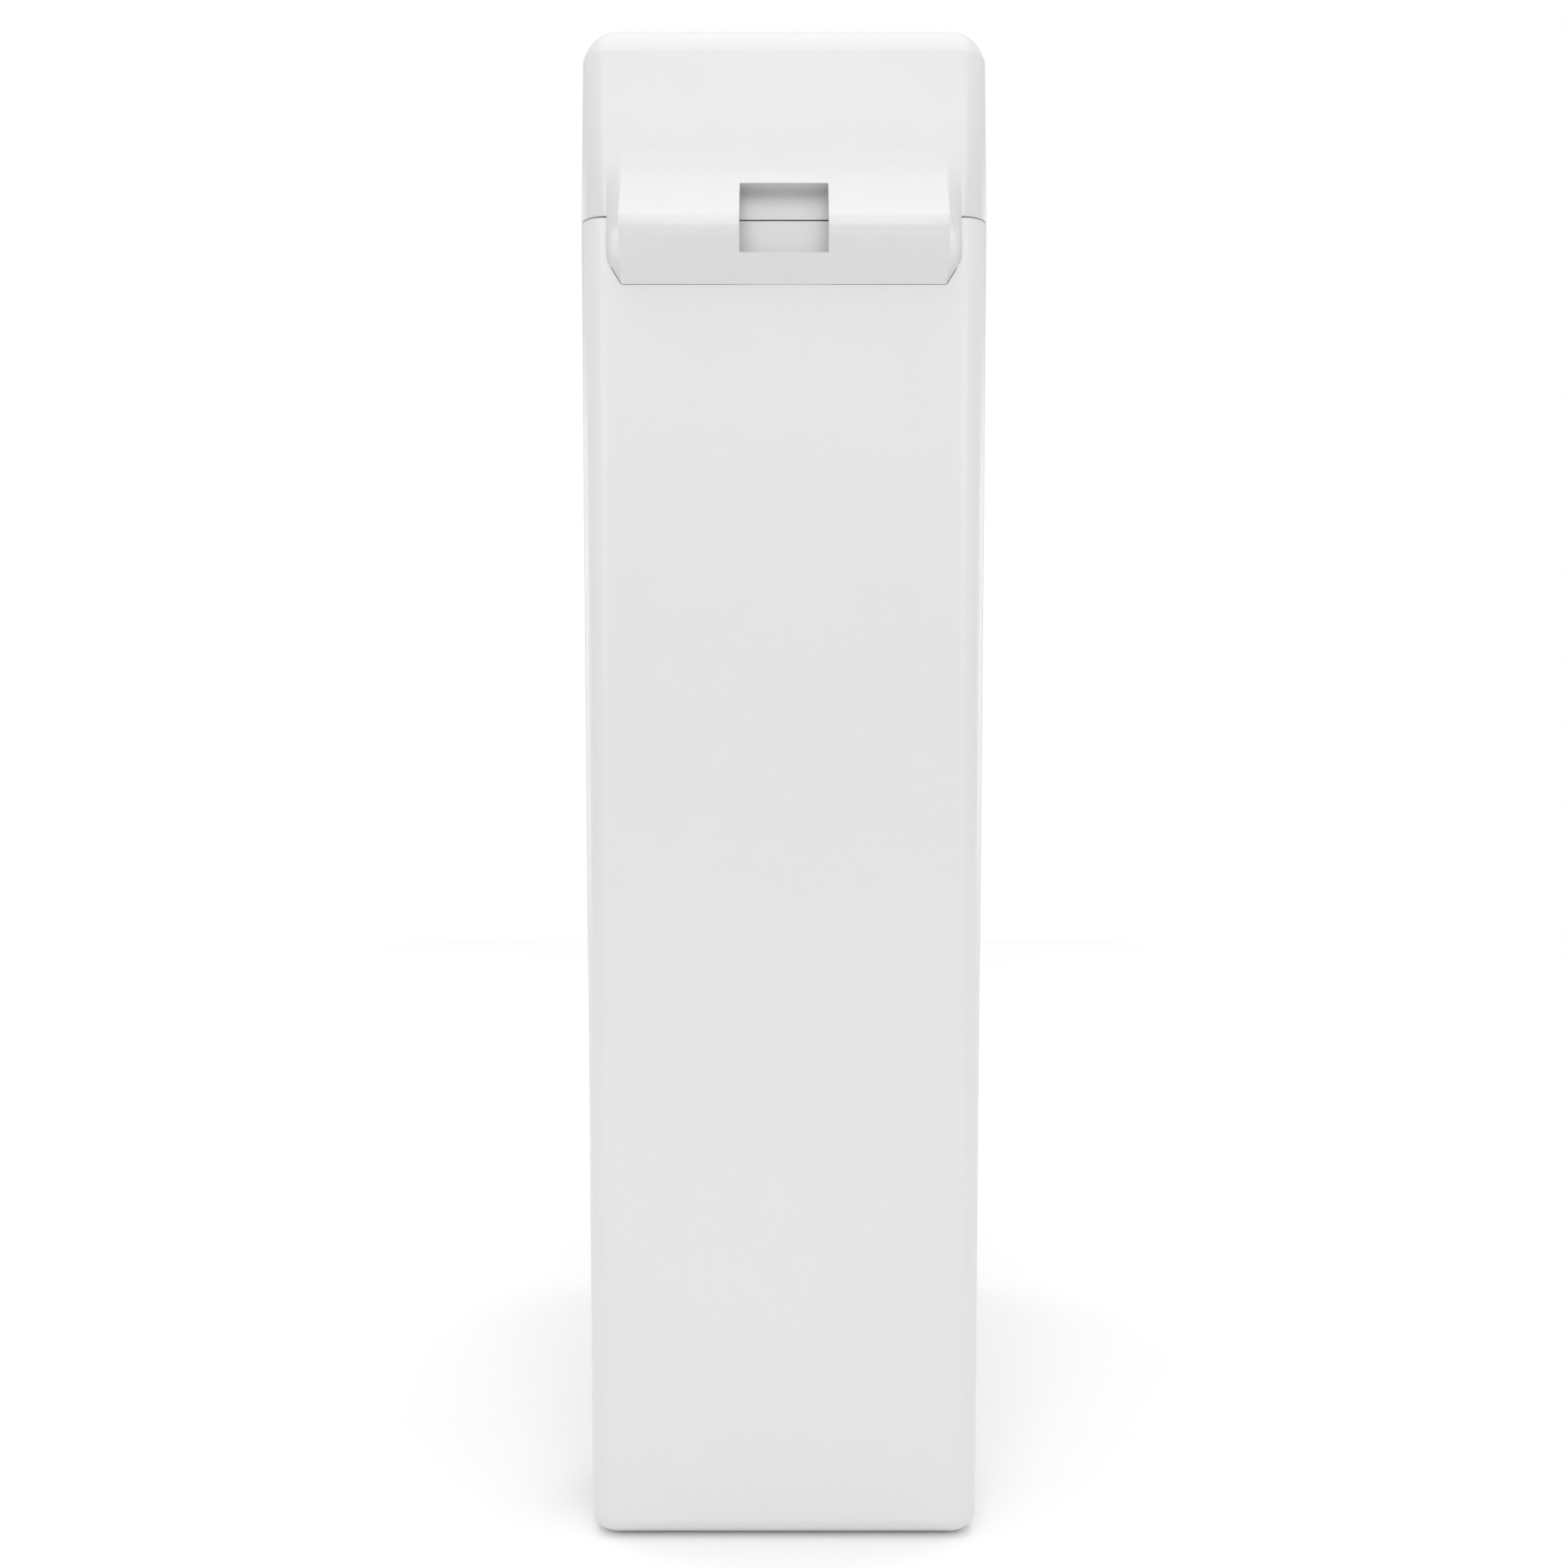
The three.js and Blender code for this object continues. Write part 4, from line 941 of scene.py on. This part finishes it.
def lead(node, body, points, radius):
    """A round lead along a smooth path, as a mesh."""
    curve = bpy.data.curves.new(node, "CURVE")
    curve.dimensions = "3D"
    curve.bevel_depth = radius
    curve.bevel_resolution = 5
    curve.use_fill_caps = True
    spline = curve.splines.new("NURBS")
    spline.points.add(len(points) - 1)
    for point, place_at in zip(spline.points, points):
        point.co = (*[c * MM for c in place_at], 1.0)
    spline.use_endpoint_u = True
    spline.order_u = 3
    spline.resolution_u = 8
    source = bpy.data.objects.new(node, curve)
    bpy.context.collection.objects.link(source)
    mesh = bpy.data.meshes.new_from_object(source.evaluated_get(bpy.context.evaluated_depsgraph_get()))
    bpy.data.objects.remove(source)
    piece = bpy.data.objects.new(node + "_fine", mesh)
    bpy.context.collection.objects.link(piece)
    smooth(piece, 60)
    return place(piece, body, "black_plastic", black, node)


# lead paths are in millimetres
LEAD_R = 1.45 * MM
cable_z = SEAM_Z / MM - 11
lead("inlet_lead", "cabinet", [(65.6, 134, 18), (60, 134, 18), (52, 134, 18), (46.4, 134, 18)], LEAD_R)
lead("body_harness", "cabinet", [
    (46.4, 108, 14), (56, 108, 14), (70, 108, 14), (80, 108, 14.5), (82.8, 108, 19), (83.0, 108, 26),
    (83.3, 107, 60), (85.2, 105.6, 300), (87, 104, cable_z - 30), (87.3, 102, cable_z - 6), (87.3, 98, cable_z),
    (87.3, 88, cable_z), (87.3, 0, cable_z), (87.3, -160, cable_z), (87.2, -180, cable_z), (86, -187, cable_z),
    (82, -189, cable_z), (77.4, -189, cable_z)], LEAD_R)
lead("lid_harness", "lid", [
    (68, -188.6, SEAM_Z / MM + 9.9), (68, -188.4, 618), (68, -188.2, 628), (67.5, -188.3, 638), (64, -189, 644.5),
    (56, -190, 646), (48, -190.1, 646), (42.5, -190.1, 646)], LEAD_R)


# ---- screws that hold the metalwork ----
def all_screws():
    for side, name in ((1, "right"), (-1, "left")):
        for i, x in enumerate((36 * MM, 48 * MM, 60 * MM)):
            spot = (side * x, RECESS_Y + 2.2 * MM, SEAM_Z - 6.5 * MM)
            screw(f"hinge_screw_{name}_{i}", spot, Y_AXIS, 2.4 * MM, "cabinet", 0.9 * MM)
    plate_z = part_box("press_frame")[1][2] - 3 * MM
    for i, (x, y) in enumerate(((-50, -170), (50, -170), (-50, 80), (50, 150), (-50, 150), (50, -60), (-50, -60))):
        screw(f"frame_screw_{i}", (x * MM, y * MM, plate_z), (0, 0, -1), 3 * MM, "lid")
    supply_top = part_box("power_supply")[1][2]
    for i, (x, y) in enumerate(((-40, 47), (40, 47), (-40, 143), (40, 143))):
        screw(f"supply_screw_{i}", (x * MM, y * MM, supply_top), Z_AXIS, 2.2 * MM, "cabinet")


all_screws()


# ---- studio ----
SKY_LOW, SKY_LEVEL, SKY_HIGH = 0.3, 0.25, 1.1  # light from below, from the side and from above
FLOOR_RADIUS = 2.6
SENSOR_WIDTH = 36.0
LENS = 35.534  # about 54 degrees across
EYE_DISTANCE = 0.7  # behind the rear wall
EYE_DROP = 0.6 * MM  # below half the height


def sky(world):
    """Seen directly the backdrop is white; as light it is brighter overhead than low down."""
    world.use_nodes = True
    tree = world.node_tree
    plain = tree.nodes["Background"]
    plain.inputs["Color"].default_value = (1.0, 1.0, 1.0, 1.0)
    plain.inputs["Strength"].default_value = 1.0
    soft = tree.nodes.new("ShaderNodeBackground")
    soft.inputs["Strength"].default_value = 1.0
    where = tree.nodes.new("ShaderNodeTexCoord")
    split = tree.nodes.new("ShaderNodeSeparateXYZ")
    height = tree.nodes.new("ShaderNodeMapRange")
    height.inputs["From Min"].default_value = -1.0
    shade = tree.nodes.new("ShaderNodeValToRGB")
    stops = shade.color_ramp.elements
    stops[0].position, stops[0].color = 0.0, (*grey(SKY_LOW), 1.0)
    stops[1].position, stops[1].color = 1.0, (*grey(SKY_HIGH), 1.0)
    middle = stops.new(0.5)
    middle.color = (*grey(SKY_LEVEL), 1.0)
    rays = tree.nodes.new("ShaderNodeLightPath")
    mix = tree.nodes.new("ShaderNodeMixShader")
    tree.links.new(where.outputs["Generated"], split.inputs["Vector"])
    tree.links.new(split.outputs["Z"], height.inputs["Value"])
    tree.links.new(height.outputs["Result"], shade.inputs["Fac"])
    tree.links.new(shade.outputs["Color"], soft.inputs["Color"])
    tree.links.new(rays.outputs["Is Camera Ray"], mix.inputs["Fac"])
    tree.links.new(soft.outputs["Background"], mix.inputs[1])
    tree.links.new(plain.outputs["Background"], mix.inputs[2])
    tree.links.new(mix.outputs["Shader"], tree.nodes["World Output"].inputs["Surface"])


# name, position, width, height, power in watts
LAMPS = (
    ("key", (0.0, 3.6, 2.3), 3.0, 2.0, 52.0),
    ("front", (0.0, -3.0, 1.2), 3.0, 2.0, 4.0),
    ("left", (-2.6, -1.5, 0.8), 2.0, 1.4, 20.0),
    ("right", (2.6, -1.5, 0.8), 2.0, 1.4, 20.0),
    ("overhead", (0.0, 0.7, 3.4), 3.0, 3.0, 30.0),
)


def studio():
    world = bpy.data.worlds.new("studio")
    bpy.context.scene.world = world
    sky(world)

    bm = bmesh.new()
    bmesh.ops.create_circle(bm, cap_ends=True, segments=128, radius=FLOOR_RADIUS)
    floor = finish_mesh("floor", bm)
    made, shader, tree = material("floor_paper", (0.88, 0.88, 0.88), 0.9)
    tree.links.new(ramp(tree, noise(tree, 3.0), grey(0.87), grey(0.89)), shader.inputs["Base Color"])
    floor.data.materials.append(made)

    for name, position, width, depth, power in LAMPS:
        data = bpy.data.lights.new(name, "AREA")
        data.shape = "RECTANGLE"
        data.size, data.size_y = width, depth
        data.energy = power
        lamp = bpy.data.objects.new(name, data)
        lamp.location = position
        lamp.rotation_euler = (Vector((0, 0, TOP_Z / 2)) - Vector(position)).to_track_quat("-Z", "Y").to_euler()
        bpy.context.collection.objects.link(lamp)


def camera():
    """Straight behind the cabinet, at half its height."""
    data = bpy.data.cameras.new("camera")
    data.sensor_width = SENSOR_WIDTH
    data.lens = LENS
    eye = bpy.data.objects.new("camera", data)
    eye.location = (0.0, REAR_Y + EYE_DISTANCE, TOP_Z / 2 - EYE_DROP)
    eye.rotation_euler = (math.pi / 2, 0.0, math.pi)
    bpy.context.collection.objects.link(eye)
    bpy.context.scene.camera = eye


studio()
camera()
bpy.context.scene.view_settings.view_transform = "Standard"
